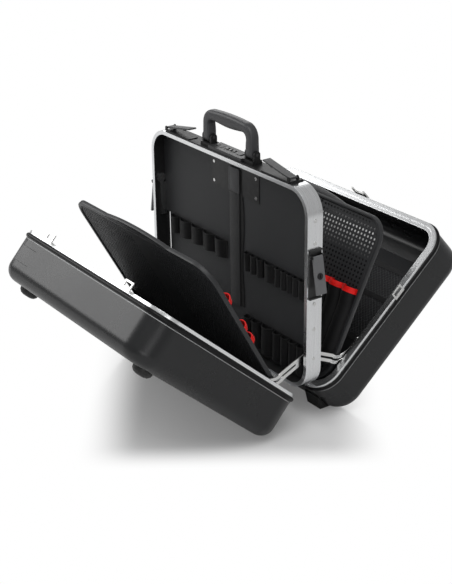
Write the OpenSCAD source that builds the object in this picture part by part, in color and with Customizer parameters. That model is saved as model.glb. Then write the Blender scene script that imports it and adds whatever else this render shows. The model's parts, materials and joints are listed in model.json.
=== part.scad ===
// Hard-shell tool case, stood open: a middle frame that carries the tools and two hinged half shells.
// X runs along the case, -Y is the left shell, +Y the right shell, Z is up from the ground.

/* [Case] */
// Length of the case along its handle side
case_w = 510; // [480:1:540]
// Height of the case without its handle
case_h = 392; // [380:1:420]
// Radius of the case's corners, seen on its big face
corner_r = 50; // [46:1:54]
// Angle between a half shell and the frame when the case stands open
open_angle = 48.6; // [44:0.2:52]

/* [Middle frame] */
// Depth of the frame from opening to opening
frame_d = 34; // [33:0.5:38]
// Thickness of the aluminium band
band_t = 2; // [1.6:0.1:2.4]
// Height of the lips round both openings
lip_w = 8; // [6:0.5:9]
// Thickness of the lips
lip_t = 1.6; // [1.2:0.1:2]
// Thickness of the black liner inside the band
liner_t = 3; // [2:0.5:4]
// Distance of the tool panel's face from the frame's mid plane
panel_y = 10; // [9:0.5:10.5]
// Thickness of the tool panel
panel_t = 3; // [2:0.5:4]

/* [Half shells] */
// Depth of a half shell
shell_d = 100; // [95:1:115]
// Radius of the rounded edge round the big face
shell_edge_r = 27; // [22:1:30]
// Thickness of a shell's wall
shell_wall = 2.5; // [2:0.1:3.2]
// Gap between a shell's rim and the frame when the case is shut
rim_gap = 0.3; // [0.2:0.1:0.6]
// Width of the rim's bright outer strip
rim_outer_w = 8; // [6:0.5:9]
// Width of the rim's set-back inner strip
rim_inner_w = 7; // [5:0.5:8]
// Thickness of each strip of the rim
rim_t = 3; // [2.4:0.2:3.6]
// Set-back of the rim's inner strip
rim_step = 2; // [1:0.2:2.2]
// Width of the rim's strip on the sides of the shell
rim_side = 6; // [5:0.5:7]
// Height of the black bead round the rim
bead_h = 3.5; // [3:0.1:3.6]
// Width of the black bead
bead_w = 9; // [8:0.5:9.5]

/* [Shell hinges] */
// Distance of a hinge axis in from the frame's opening
hinge_inset = 10.7; // [10.2:0.1:11.2]
// Drop of a hinge axis below the frame
hinge_drop = 10; // [9.6:0.1:10.4]
// Radius of a hinge knuckle
knuckle_r = 3.8; // [3.4:0.1:4.2]
// Radius of a hinge pin
hinge_pin_r = 2; // [1.5:0.1:2.4]
// Running clearance of a pin in its bore
pin_slip = 0.05; // [0.03:0.01:0.09]
// Length of one hinge
hinge_len = 60; // [48:2:66]
// Distance between neighbouring hinges
hinge_pitch = 110; // [90:2:115]
// Thickness of a hinge leaf
leaf_t = 3; // [2:0.5:3.4]
// Reach of a shell's leaf along its bottom wall
leaf_reach = 42; // [34:1:46]
// End play between neighbouring knuckles
knuckle_gap = 0.4; // [0.3:0.1:0.8]

/* [Feet] */
// Length of a foot along the case
foot_w = 40; // [30:1:44]
// Distance of a foot's middle from the end of the case
foot_end = 70; // [67:1:83]
// Depth in the shell at which a foot starts
foot_start = 48; // [46:1:54]
// Height of a foot below the bottom wall
foot_h = 15; // [14.4:0.1:17]
// Height by which the feet lift the open shells off the ground
foot_lift = 1.5; // [1:0.1:2.5]
// Height of a foot on the big face
face_foot_h = 13; // [8:1:14]
// Width of a foot on the big face
face_foot_w = 40; // [30:1:44]
// Distance of the big face's feet from its top edge
face_foot_edge = 65; // [60:1:80]

/* [Stays] */
// Height of the stays' pivots in the frame
stay_z = 69; // [64:1:74]
// Height of a stay's pin in its shell
stay_pin_h = 124; // [120:1:128]
// Depth of a stay's pin in its shell
stay_pin_d = 12; // [11:0.5:13]
// Width of a stay bar
stay_w = 17; // [14:0.5:19]
// Thickness of a stay bar
stay_t = 2; // [1.6:0.1:2.2]
// Radius of the pin that slides in a stay's slot
stay_pin_r = 1.6; // [1.2:0.1:2]
// Clearance of that pin in the slot
slot_slip = 0.4; // [0.3:0.05:0.6]
// Radius of the stays' pivot screws
stay_pivot_r = 3; // [2:0.1:3.5]
// Side gap between a stay and its neighbours
stay_gap = 0.4; // [0.3:0.05:0.6]
// Turn of a stay for each degree that its shell turns
stay_ratio = 1.73; // [1.7:0.01:1.76]
// Start of a stay's slot, outwards from its pivot
slot_start_y = 30; // [26:1:34]
// Drop of the slot's start below the pivot
slot_start_drop = 11; // [9:0.5:13]

/* [Tool boards] */
// Distance of a tool board's side from the end of the case
board_side_gap = 22; // [21.5:0.5:30]
// Height of the case less the height of the left tool board
left_board_drop = 41; // [41:1:47]
// Height of the case less the height of the right tool board
right_board_drop = 55; // [34:1:62]
// Length of the grip bow on a board's top edge
bow_w = 220; // [190:5:240]
// Height of the grip bow
bow_h = 11; // [9:0.5:11]
// Length of the finger slot under the bow
bow_slot_w = 84; // [70:2:100]
// Height of the finger slot
bow_slot_h = 18; // [14:1:22]
// Thickness of a board's plate
board_t = 3; // [2.4:0.2:3.6]
// Width of a board's raised border
border_w = 9; // [7:0.5:12]
// Height of the border on the side towards the frame
border_front = 6; // [5:0.5:8]
// Height of the border on the side towards the big face
border_back = 3; // [2.5:0.5:5]
// Height of a board's hinge above the bottom of the shell
board_hinge_h = 14; // [13:0.5:15]
// Depth of a board's hinge in the shell
board_hinge_d = 22; // [21.5:0.5:26]
// Lean of the left board out of its open shell
left_lean = 20; // [12:0.5:26]
// Lean of the right board out of its open shell
right_lean = 23; // [12:0.5:26]
// Distance of a board's hinges from the mid plane
board_hinge_x = 150; // [120:1:170]
// Length of a board's knuckle
board_knuckle_w = 24; // [18:1:30]
// Radius of a board's knuckle
board_knuckle_r = 5; // [4:0.2:5.4]
// Radius of a board's hinge pin
board_pin_r = 2; // [1.5:0.1:2.4]
// Thickness of the ears that hold a board's pin
board_ear_t = 3; // [2:0.5:4]
// Width of a sleeve on a board
sleeve_w = 35; // [30:1:35]
// Gap between neighbouring sleeves
sleeve_gap = 1; // [0.6:0.1:2]
// Bulge of a sleeve from its board
sleeve_bulge = 12.5; // [10:0.5:13]
// Thickness of the cloth of sleeves and pockets
cloth_t = 1.4; // [1:0.1:1.8]
// Height of a red collar
collar_h = 11; // [8:0.5:12]
// Thickness of a red collar
collar_t = 1; // [0.8:0.1:1.4]

/* [Tool loops and pockets] */
// Height of the upper row's top edge in the frame
upper_top = 208; // [200:1:216]
// Height of the upper row's loops
upper_h = 36; // [30:1:44]
// Bulge of the upper row's loops
upper_bulge = 12; // [9:0.5:13]
// Height of the lower row's top edge in the frame
lower_top = 76; // [70:1:82]
// Height of the lower row's bottom edge in the frame
lower_bottom = 20; // [16:1:26]
// Bulge of the lower row's pockets
lower_bulge = 15; // [12:0.5:17]
// Gap between neighbouring loops
loop_gap = 4; // [3:0.5:5]
// Distance of the loops' rows from the ends of the case
row_end_gap = 35; // [33:0.5:45]
// Gap between the strap and the loops towards the near end
near_gap = 20; // [14:1:26]
// Gap between the strap and the loops towards the far end
far_gap = 14; // [8:1:20]
// Width of the holding strap
strap_w = 32; // [26:1:36]
// Thickness of the holding strap
strap_t = 2.5; // [1.5:0.1:2.6]
// Distance of the strap's upper end from the frame's top
strap_drop = 27; // [20:1:37]
// Height of the strap's lower end in the frame
strap_bottom = 86; // [80:1:100]

/* [Reinforcement plate] */
// Width of the plate
plate_w = 154; // [140:2:170]
// Height of the plate
plate_h = 56; // [48:1:66]
// Distance of the plate's upper edge from the frame's top
plate_drop = 22; // [18:1:32]
// Thickness of the plate
plate_t = 1.2; // [1:0.1:1.4]
// Distance of the plate's rivets from its edges
rivet_inset = 9; // [7:0.5:14]

/* [Handle] */
// Length of the handle over its legs
handle_w = 158; // [156:1:172]
// Width of a leg along the case
leg_w = 19.5; // [16:0.5:22]
// Width of the handle across the case
handle_t = 20; // [16:0.5:22]
// Height of the grip's top above the frame
handle_h = 78; // [72:1:84]
// Height of the finger opening above the frame
grip_under = 56; // [50:1:60]
// Height of the handle's pivot above the frame
handle_pivot_h = 20.5; // [20.2:0.1:22]
// Radius of the handle's pins
handle_pin_r = 3; // [2.5:0.1:3.4]
// Thickness of an ear beside a leg
ear_t = 5; // [4:0.2:6]
// Width of an ear across the case
ear_w = 14; // [12:0.5:16]
// Side gap between a leg and its ears
ear_gap = 0.4; // [0.3:0.05:0.6]
// Height of the foot blocks above the rail
ear_block_h = 6.5; // [5:0.1:6.6]

/* [Rail and lock] */
// Distance of the top rail's end from the end of the case
rail_end = 55; // [52:1:59]
// Thickness of the top rail
rail_t = 3; // [2.6:0.1:3]
// Length of the lock housing
lock_w = 106; // [102:0.5:107]
// Depth of the lock housing across the case
lock_d = 30; // [28:0.5:31]
// Height of the lock housing above the rail
lock_h = 6; // [6:0.1:6.6]
// Radius of a number dial
dial_r = 6; // [5.6:0.1:6]
// Thickness of a number dial
dial_t = 6; // [4:0.2:6.6]
// Distance between neighbouring dials
dial_pitch = 11; // [10:0.2:12]
// Height by which a dial stands out of the housing
dial_proud = 1.5; // [1.4:0.1:2]
// Gap round a dial in its window
dial_gap = 0.4; // [0.3:0.05:0.5]
// Radius of the dials' axle
dial_axle_r = 1.5; // [1.2:0.1:1.8]
// Length of a slide button
slide_w = 12; // [10:0.5:13]
// Travel of a slide button
slide_travel = 5; // [3:0.5:6]
// Width of a slide button across the case
slide_d = 11; // [8:0.5:12]
// Depth of a slide button's recess
slide_recess = 3; // [2:0.2:3.4]
// Height by which a slide button stands out of the housing
slide_proud = 0.6; // [0.4:0.1:1.2]
// Running gap round a slide button
slide_slip = 0.15; // [0.1:0.05:0.3]

/* [Top latches] */
// Distance of a lever's pivot from the end of the case
latch_end = 57; // [56:0.5:61]
// Length of a lever from its pivot
latch_len = 80; // [74:1:84]
// Width of a lever across the case
latch_w = 17; // [14:0.5:17]
// Distance of a lever's middle from the frame's mid plane, towards the left shell
latch_y = 5.5; // [5:0.1:5.6]
// Thickness of a lever
latch_t = 3; // [2.4:0.1:3.4]
// Angle at which a lever stands open
latch_raise = 10; // [6:0.5:16]
// Thickness of a latch's base plate
latch_base_t = 1.5; // [1.2:0.1:1.7]
// Thickness of the ears on a base plate
latch_ear_t = 2.2; // [1.6:0.1:2.4]
// Radius of a latch's pivot pin
latch_pin_r = 1.2; // [1:0.1:1.3]
// Side gap between a lever and its ears
latch_gap = 0.3; // [0.2:0.05:0.4]
// Distance of a lever's hook from its pivot
catch_reach = 58; // [52:0.5:64]

/* [Catch loops] */
// Width of a catch loop
loop_w = 26; // [20:0.5:28]
// Reach of a catch loop from its rim
loop_reach = 15; // [13:0.2:15.2]
// Thickness of a catch loop
loop_t = 2.5; // [2:0.1:2.5]
// Width of a catch loop's sides
loop_side = 4; // [3:0.2:5]
// Gap between a loop and the plates above and below it
loop_slip = 0.3; // [0.2:0.05:0.4]
// Depth of a loop's base on the side of the rim
loop_base_d = 5; // [4:0.5:5.5]

/* [Side latches] */
// Distance of a side lever's pivot from the frame's top
side_pivot_drop = 120.5; // [116:0.5:128]
// Length of a side lever below its pivot
side_len = 69; // [60:1:74]
// Width of a side lever
side_w = 22; // [20:0.2:22.4]
// Thickness of a side lever
side_t = 4; // [3:0.2:4.4]
// Angle at which a side lever stands open
side_raise = 10.7; // [6:0.5:14]
// Thickness of a side latch's plate
side_plate_t = 2; // [1.6:0.1:2.2]
// Width of a side latch's plate
side_plate_w = 27; // [26.8:0.1:30]
// Distance of the plate's lower edge from the frame's top
side_plate_low = 203; // [198:1:208]
// Distance of the plate's upper edge from the frame's top
side_plate_high = 108; // [102:1:111]
// Distance of the side catches' middle from the frame's top
side_catch_drop = 152; // [148:0.5:156]
// Distance of the key cylinder's middle from the frame's top
key_drop = 156; // [152:0.5:162]
// Radius of the key cylinder
key_r = 6; // [5:0.2:6]
// Height by which the key cylinder stands out of its lever
key_proud = 1; // [0.6:0.1:1.6]
// Width of the key slot
key_slot_w = 1.4; // [1:0.1:2]

/* [Fasteners] */
// Radius of a rivet's head
rivet_r = 3.4; // [2.8:0.1:4]
// Height of a rivet's head
rivet_h = 1; // [0.8:0.1:1.4]

/* [Net pocket] */
// Distance of the net pocket's sides from the ends of the case
net_side_gap = 65; // [55:1:85]
// Distance of the net pocket's top edge from the top of the shell
net_drop = 54; // [48:1:72]
// Height of the net pocket's bottom edge in the shell
net_bottom = 60; // [50:1:80]
// Width of the band round the net
net_band = 14; // [10:0.5:18]
// Thickness of the net pocket
net_t = 3; // [2:0.2:4]
// Gaps of the net along the case
net_columns = 20; // [8:1:22]
// Gaps of the net up the shell
net_rows = 13; // [6:1:13]
// Width of a strand of the net
net_strand = 2.4; // [1.6:0.2:4]

/* [Hidden] */
$fn = 64;
aluminium = [0.80, 0.81, 0.82];
black = [0.10, 0.10, 0.11];
charcoal = [0.20, 0.20, 0.21];
grey = [0.35, 0.35, 0.37];
steel = [0.66, 0.67, 0.68];
red = [0.80, 0.07, 0.06];
LEFT = -1;
RIGHT = 1;
NEAR = 1;
FAR = -1;

// Where the shells turn, and how high the frame stands on them
rim_y = frame_d / 2 + rim_gap;
hinge_y = frame_d / 2 - hinge_inset;
edge_run = rim_y + shell_d - shell_edge_r - hinge_y;
edge_rise = shell_edge_r + hinge_drop;
edge_low = edge_rise * cos(open_angle) - edge_run * sin(open_angle) - shell_edge_r;
axis_z = foot_lift - edge_low;
frame_z = axis_z + hinge_drop;

// Sizes that follow from the frame and the shells
liner_in = band_t + liner_t;
foot_x = case_w / 2 - foot_end;
board_w = case_w - 2 * board_side_gap;
left_board_h = case_h - left_board_drop;
right_board_h = case_h - right_board_drop;
strap_top = case_h - strap_drop;
plate_top = case_h - plate_drop;
plate_bottom = plate_top - plate_h;
rail_half = case_w / 2 - rail_end;
latch_pivot_x = case_w / 2 - latch_end;
catch_x = latch_pivot_x - catch_reach;
net_w = case_w - 2 * net_side_gap;
net_top = case_h - net_drop;
side_pivot_z = case_h - side_pivot_drop;
side_plate_bottom = case_h - side_plate_low;
side_plate_top = case_h - side_plate_high;
side_catch_z = case_h - side_catch_drop;
key_z = case_h - key_drop;
rim_face = rim_outer_w + rim_inner_w;
rail_top = case_h + rail_t;
housing_top = rail_top + lock_h;
dial_z = housing_top + dial_proud - dial_r;
handle_pivot_z = case_h + handle_pivot_h;
leg_x = handle_w / 2 - leg_w / 2;
latch_loop_z = rail_top + latch_base_t + loop_slip;
latch_under = latch_loop_z + loop_t + loop_slip;
latch_pivot_z = latch_under + latch_t / 2;
side_loop_x = case_w / 2 + side_plate_t + loop_slip;
side_under = side_loop_x + loop_t + loop_slip;
side_pivot_x = side_under + side_t / 2;
left_stay_x = case_w / 2 - rim_face - stay_gap - stay_t;
right_stay_x = left_stay_x - stay_gap - stay_t;

// Points of a stay's pin, seen from the side of the case, with the stay's pivot at the origin
function turned(p, a) = [p[0] * cos(a) + p[1] * sin(a), p[1] * cos(a) - p[0] * sin(a)];
pin_shut = [rim_y + stay_pin_d - hinge_y, stay_pin_h + hinge_drop];
function pin_at(shut) = turned(pin_shut, open_angle - shut) + [hinge_y, -hinge_drop - stay_z];
function slot_at(shut) = turned(pin_at(shut), stay_ratio * shut);
slot_steps = 16;
slot_line = concat([[slot_start_y, -slot_start_drop]],
    [for (i = [slot_steps:-1:0]) slot_at(open_angle * i / slot_steps)]);
stay_top = stay_z + norm(pin_at(0)) + stay_w;

// Flat helpers
module rounded_rect(w, h, r) {
    translate([r - w / 2, 0]) square([w - 2 * r, h]);
    translate([-w / 2, r]) square([w, h - 2 * r]);
    for (side = [-1, 1], y = [r, h - r])
        translate([side * (w / 2 - r), y]) circle(r);
}

// Half-round bulge of height s on a base of width w, drawn below the x axis
module bulge(w, s) {
    ball = (w * w / 4 + s * s) / (2 * s);
    intersection() {
        translate([0, ball - s]) circle(ball);
        translate([-ball, -s]) square([2 * ball, s]);
    }
}

// Strip of half width b along a list of points, with round ends
cap_steps = 12;
function heading(line, i) = let (
        a = line[max(i - 1, 0)],
        b = line[min(i + 1, len(line) - 1)]
    ) atan2(b[1] - a[1], b[0] - a[0]);
function around(centre, angle, b) = centre + b * [cos(angle), sin(angle)];
function cap(centre, start, b) = [for (k = [1:cap_steps - 1]) around(centre, start - 180 * k / cap_steps, b)];
module strip(line, b) {
    last = len(line) - 1;
    upper = [for (i = [0:last]) around(line[i], heading(line, i) + 90, b)];
    lower = [for (i = [last:-1:0]) around(line[i], heading(line, i) - 90, b)];
    polygon(concat(upper, cap(line[last], heading(line, last) + 90, b), lower,
        cap(line[0], heading(line, 0) - 90, b)));
}

// Extrudes a drawing of (y, z) along x, centred
module along_x(w) {
    translate([-w / 2, 0, 0]) rotate([90, 0, 90]) linear_extrude(w) children();
}

// Sweeps a section round a rounded rectangle that stands on y = 0. The section's x runs inwards from
// the outer edge and its y along the depth.
module ring(w, h, r) {
    for (corner = [0:3]) {
        side = (corner == 0 || corner == 3) ? 1 : -1;
        y = corner < 2 ? h - r : r;
        run = corner % 2 == 0 ? h - 2 * r : w - 2 * r;
        translate([side * (w / 2 - r), y, 0]) rotate([0, 0, 90 * corner]) {
            rotate_extrude(angle = 90) translate([r, 0]) mirror([1, 0]) children();
            rotate([90, 0, 0]) linear_extrude(run) translate([r, 0]) mirror([1, 0]) children();
        }
    }
}

// Places. A flat drawing is (along the case, up, outwards from the rim).
module in_frame() {
    translate([0, 0, frame_z]) children();
}
module stood_up(side) {
    if (side == RIGHT) mirror([0, 1, 0]) rotate([90, 0, 0]) children();
    else rotate([90, 0, 0]) children();
}
module in_shell(side) {
    translate([0, side * hinge_y, axis_z]) rotate([-side * open_angle, 0, 0])
        translate([0, side * (rim_y - hinge_y), hinge_drop]) stood_up(side) children();
}
module on_board(side) {
    lean = side == LEFT ? left_lean : right_lean;
    in_shell(side) translate([0, board_hinge_h, board_hinge_d]) rotate([-lean, 0, 0]) children();
}

// Middle frame
module frame_band() {
    window_w = 2 * dial_pitch + dial_t + 2 * dial_gap;
    window_d = 2 * (dial_r + dial_gap);
    color(aluminium) in_frame() difference() {
        stood_up(RIGHT) ring(case_w, case_h, corner_r) {
            union() {
                translate([0, -frame_d / 2]) square([band_t, frame_d]);
                translate([0, -frame_d / 2]) square([lip_w, lip_t]);
                translate([0, frame_d / 2 - lip_t]) square([lip_w, lip_t]);
            }
        }
        translate([-window_w / 2, -window_d / 2, case_h - 1.5 * band_t]) cube([window_w, window_d, 2 * band_t]);
    }
}
module frame_liner() {
    inner_d = frame_d - 2 * lip_t;
    color(black) in_frame() stood_up(RIGHT) translate([0, band_t, 0])
        ring(case_w - 2 * band_t, case_h - 2 * band_t, corner_r - band_t)
            translate([0, -inner_d / 2]) square([liner_t, inner_d]);
}
module tool_panel() {
    w = case_w - 2 * liner_in;
    h = case_h - 2 * liner_in;
    notch = w / 2 - right_stay_x + 2 * stay_gap;
    notch_bottom = stay_z - stay_w;
    notch_h = stay_top - notch_bottom;
    color(black) in_frame() difference() {
        stood_up(RIGHT) translate([0, liner_in, panel_y]) linear_extrude(panel_t)
            rounded_rect(w, h, corner_r - liner_in);
        for (end = [NEAR, FAR]) translate([end * w / 2 - notch, 0, notch_bottom])
            cube([2 * notch, frame_d, notch_h]);
    }
}
module reinforcement_plate() {
    color(charcoal) in_frame() translate([-plate_w / 2, panel_y - plate_t, plate_bottom])
        cube([plate_w, plate_t, plate_top - plate_bottom]);
}
module rivet_head() {
    cylinder(r = rivet_r, h = rivet_h);
}
band_rivet_drops = [56, 98, 214, 264];
module rivets() {
    plate_face = panel_y - plate_t;
    color(steel) in_frame() {
        for (side = [-1, 1], z = [plate_bottom + rivet_inset, plate_top - rivet_inset])
            translate([side * (plate_w / 2 - rivet_inset), plate_face, z]) rotate([90, 0, 0]) rivet_head();
        for (end = [NEAR, FAR], drop = band_rivet_drops)
            translate([end * case_w / 2, 0, case_h - drop]) rotate([0, end * 90, 0]) rivet_head();
    }
}
module holding_strap() {
    color(charcoal) in_frame() translate([-strap_w / 2, panel_y - plate_t - strap_t, strap_bottom])
        cube([strap_w, strap_t, strap_top - strap_bottom]);
}

// Rows of loops and pockets: widths are listed from the strap outwards, for a case 510 long, and grow
// and shrink with the case
listed_reach = 220;
row_scale = (case_w / 2 - row_end_gap) / listed_reach;
upper_left = [38, 38, 38, 38, 24];
upper_right = [16, 16, 16, 34, 14, 14, 14, 14, 14];
lower_left = [54, 54, 54];
lower_right = [20, 24, 36, 22, 20, 20, 20];
function fitted(widths) = [for (w = widths) w * row_scale];
function row_start(widths, i) = i == 0 ? 0 : row_start(widths, i - 1) + widths[i - 1] + loop_gap;
function row_length(widths) = row_start(widths, len(widths)) - loop_gap;
module cloth_row(widths, side, top, tall, out, hollow) {
    start = strap_w / 2 + (side == NEAR ? near_gap : far_gap);
    sunk = cloth_t / 2;
    translate([0, panel_y, top - tall]) {
        hem = loop_gap / 2;
        translate([side > 0 ? start - hem : -start - row_length(widths) - hem, -cloth_t, 0])
            cube([row_length(widths) + 2 * hem, cloth_t, tall]);
        for (i = [0:len(widths) - 1]) translate([side * (start + row_start(widths, i) + widths[i] / 2), 0, 0])
            translate([0, -sunk, 0]) linear_extrude(tall) difference() {
                bulge(widths[i], out - sunk);
                if (hollow) bulge(widths[i] - 2 * cloth_t, out - sunk - cloth_t);
            }
    }
}
module upper_loops() {
    color(black) in_frame() {
        cloth_row(fitted(upper_left), FAR, upper_top, upper_h, upper_bulge, false);
        cloth_row(fitted(upper_right), NEAR, upper_top, upper_h, upper_bulge, false);
    }
}
module lower_pockets() {
    tall = lower_top - lower_bottom;
    color(black) in_frame() {
        cloth_row(fitted(lower_left), FAR, lower_top, tall, lower_bulge, true);
        cloth_row(fitted(lower_right), NEAR, lower_top, tall, lower_bulge, true);
    }
}
clip_places = [-150, -20, 140];
clip_size = [14, 3, 5];
module lip_clips() {
    color(black) in_frame() for (x = clip_places)
        translate([x - clip_size[0] / 2, lip_t - frame_d / 2, case_h - liner_in - clip_size[2]]) cube(clip_size);
}
module top_rail() {
    window_w = 2 * dial_pitch + dial_t + 2 * dial_gap;
    window_d = 2 * (dial_r + dial_gap);
    color(black) in_frame() difference() {
        translate([-rail_half, -frame_d / 2, case_h]) cube([2 * rail_half, frame_d, rail_t]);
        translate([-window_w / 2, -window_d / 2, case_h - rail_t]) cube([window_w, window_d, 3 * rail_t]);
    }
}

// Lock
hook_x = 17;
hook_w = 6;
hook_reach = 8;
hook_t = 3;
hook_gap = 0.5;
slide_x = 30;
axle_seat = 3;
module lock_housing() {
    recess_w = slide_w + slide_travel + 2 * slide_slip;
    recess_d = slide_d + 2 * slide_slip;
    slot_w = hook_w + 2 * hook_gap;
    slot_d = lock_d / 2 - (rim_y - hook_reach) + hook_gap;
    window_d = 2 * (dial_r + dial_gap);
    axle_w = 2 * dial_pitch + dial_t + 2 * dial_gap + 2 * axle_seat;
    color(charcoal) in_frame() {
        difference() {
            translate([-lock_w / 2, -lock_d / 2, rail_top]) cube([lock_w, lock_d, lock_h]);
            for (i = [-1:1]) translate([i * dial_pitch - dial_t / 2 - dial_gap, -window_d / 2, rail_top - 1])
                cube([dial_t + 2 * dial_gap, window_d, lock_h + 2]);
            for (end = [NEAR, FAR]) {
                outward = end == NEAR ? 0 : -recess_w;
                translate([end * (slide_x - slide_w / 2 - slide_slip) + outward, -recess_d / 2,
                    housing_top - slide_recess]) cube([recess_w, recess_d, slide_recess + 1]);
                translate([end * hook_x - slot_w / 2, lock_d / 2 - slot_d, rail_top - 1])
                    cube([slot_w, slot_d + 1, 1 + bead_h - rail_t + hook_t + hook_gap]);
            }
        }
        translate([-axle_w / 2, 0, dial_z]) rotate([0, 90, 0]) cylinder(r = dial_axle_r, h = axle_w);
    }
}
module dial(i) {
    facets = 10;
    color(black) in_frame() translate([i * dial_pitch - dial_t / 2, 0, dial_z]) rotate([0, 90, 0])
        difference() {
            rotate([0, 0, 18]) cylinder(r = dial_r, h = dial_t, $fn = facets);
            translate([0, 0, -1]) cylinder(r = dial_axle_r + pin_slip, h = dial_t + 2);
        }
}
module dial_near() { dial(1); }
module dial_mid() { dial(0); }
module dial_far() { dial(-1); }
module slide(end) {
    low = housing_top - slide_recess + slide_slip;
    color(charcoal) in_frame() translate([end * slide_x - slide_w / 2, -slide_d / 2, low])
        cube([slide_w, slide_d, housing_top + slide_proud - low]);
}
module slide_near() { slide(NEAR); }
module slide_far() { slide(FAR); }

// Handle
ear_x = leg_w / 2 + ear_gap + ear_t / 2;
module handle_ears() {
    block_w = leg_w + 2 * ear_gap + 2 * ear_t;
    color(black) in_frame() for (end = [NEAR, FAR]) translate([end * leg_x, 0, 0]) {
        translate([-block_w / 2, -handle_t / 2 - 1, rail_top]) cube([block_w, handle_t + 2, ear_block_h]);
        for (side = [-1, 1]) translate([side * ear_x, 0, 0]) along_x(ear_t) difference() {
            union() {
                translate([-ear_w / 2, rail_top + ear_block_h])
                    square([ear_w, handle_pivot_z - rail_top - ear_block_h]);
                translate([0, handle_pivot_z]) circle(ear_w / 2);
            }
            translate([0, handle_pivot_z]) circle(handle_pin_r + pin_slip);
        }
    }
}
module handle() {
    arch = 600;
    finger_r = 12;
    opening_w = handle_w - 2 * leg_w;
    leg_end = handle_t / 2;
    low = handle_pivot_z;
    color(charcoal) in_frame() difference() {
        union() {
            translate([0, handle_t / 2, 0]) rotate([90, 0, 0]) linear_extrude(handle_t) difference() {
                intersection() {
                    translate([0, low]) rounded_rect(handle_w, case_h + handle_h - low, 15);
                    translate([0, case_h + handle_h - arch]) circle(arch, $fn = 360);
                }
                translate([0, low - grip_under]) rounded_rect(opening_w, case_h + 2 * grip_under - low, finger_r);
                translate([-handle_w, low - 1]) square([2 * handle_w, 16]);
            }
            for (end = [NEAR, FAR]) translate([end * leg_x, 0, 0]) along_x(leg_w) {
                translate([-leg_end, low]) square([2 * leg_end, 16]);
                translate([0, low]) circle(leg_end);
            }
        }
        for (end = [NEAR, FAR]) translate([end * leg_x, 0, low]) rotate([0, 90, 0])
            cylinder(r = handle_pin_r + pin_slip, h = leg_w + 2, center = true);
    }
}
module pivot_pins() {
    handle_pin_len = leg_w + 2 * ear_gap + 2 * ear_t;
    latch_pin_len = latch_w + 2 * latch_gap + 2 * latch_ear_t;
    side_pin_len = side_plate_w;
    color(steel) in_frame() {
        for (end = [NEAR, FAR]) {
            translate([end * leg_x, 0, handle_pivot_z]) rotate([0, 90, 0])
                cylinder(r = handle_pin_r, h = handle_pin_len, center = true);
            translate([end * latch_pivot_x, -latch_y, latch_pivot_z]) rotate([90, 0, 0])
                cylinder(r = latch_pin_r, h = latch_pin_len, center = true);
            translate([end * side_pivot_x, 0, side_pivot_z]) rotate([90, 0, 0])
                cylinder(r = latch_pin_r, h = side_pin_len, center = true);
        }
    }
}

// Top latches
latch_ear_r = 3.4;
hook_post = [5, 4];
module top_latch_bases() {
    base_w = latch_w + 2 * latch_gap + 2 * latch_ear_t;
    base_len = latch_len + latch_ear_r;
    color(black) in_frame() for (end = [NEAR, FAR]) {
        translate([end * (latch_pivot_x - latch_len / 2 + latch_ear_r / 2) - base_len / 2, -latch_y - base_w / 2,
            rail_top]) cube([base_len, base_w, latch_base_t]);
        for (side = [-1, 1]) translate([end * latch_pivot_x,
            side * (latch_w / 2 + latch_gap + latch_ear_t / 2) - latch_y, 0])
            translate([0, latch_ear_t / 2, 0]) rotate([90, 0, 0]) linear_extrude(latch_ear_t) difference() {
                union() {
                    translate([-latch_ear_r, rail_top + latch_base_t])
                        square([2 * latch_ear_r, latch_pivot_z - rail_top - latch_base_t]);
                    translate([0, latch_pivot_z]) circle(latch_ear_r);
                }
                translate([0, latch_pivot_z]) circle(latch_pin_r + pin_slip);
            }
    }
}
module top_latch(end) {
    color(charcoal) in_frame() translate([end * latch_pivot_x, -latch_y, latch_pivot_z])
        rotate([0, end * latch_raise, 0]) difference() {
            union() {
                translate([end * -latch_len / 2 - latch_len / 2, -latch_w / 2, -latch_t / 2])
                    cube([latch_len, latch_w, latch_t]);
                rotate([90, 0, 0]) cylinder(r = latch_t / 2 + 0.6, h = latch_w, center = true);
                translate([end * (catch_x - latch_pivot_x) - hook_post[0] / 2, latch_y - rim_y + loop_side + 1,
                    -latch_t / 2 - loop_t - loop_slip]) cube([hook_post[0], hook_post[1], loop_t + loop_slip + 1]);
            }
            rotate([90, 0, 0]) cylinder(r = latch_pin_r + pin_slip, h = latch_w + 2, center = true);
        }
}
module top_latch_near() { top_latch(NEAR); }
module top_latch_far() { top_latch(FAR); }

// Side latches
side_ear_r = 3.6;
module side_latch_plates() {
    border = 3;
    ear_y = side_w / 2 + latch_gap;
    ear_depth = side_plate_w / 2 - ear_y;
    plate_h = side_plate_top - side_plate_bottom;
    color(charcoal) in_frame() for (end = [NEAR, FAR]) mirror([end == NEAR ? 0 : 1, 0, 0]) {
        translate([case_w / 2, -side_plate_w / 2, side_plate_bottom]) cube([side_plate_t, side_plate_w, plate_h]);
        for (z = [side_plate_bottom, side_plate_top - border]) translate([case_w / 2, -side_plate_w / 2, z])
            cube([side_plate_t + loop_t, side_plate_w, border]);
        for (side = [-1, 1]) translate([0, side * (ear_y + ear_depth / 2) + ear_depth / 2, 0]) rotate([90, 0, 0])
            linear_extrude(ear_depth) difference() {
                union() {
                    translate([case_w / 2 + side_plate_t / 2, side_pivot_z - side_ear_r])
                        square([side_pivot_x - case_w / 2 - side_plate_t / 2, 2 * side_ear_r]);
                    translate([side_pivot_x, side_pivot_z]) circle(side_ear_r);
                }
                translate([side_pivot_x, side_pivot_z]) circle(latch_pin_r + pin_slip);
            }
    }
}
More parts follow.
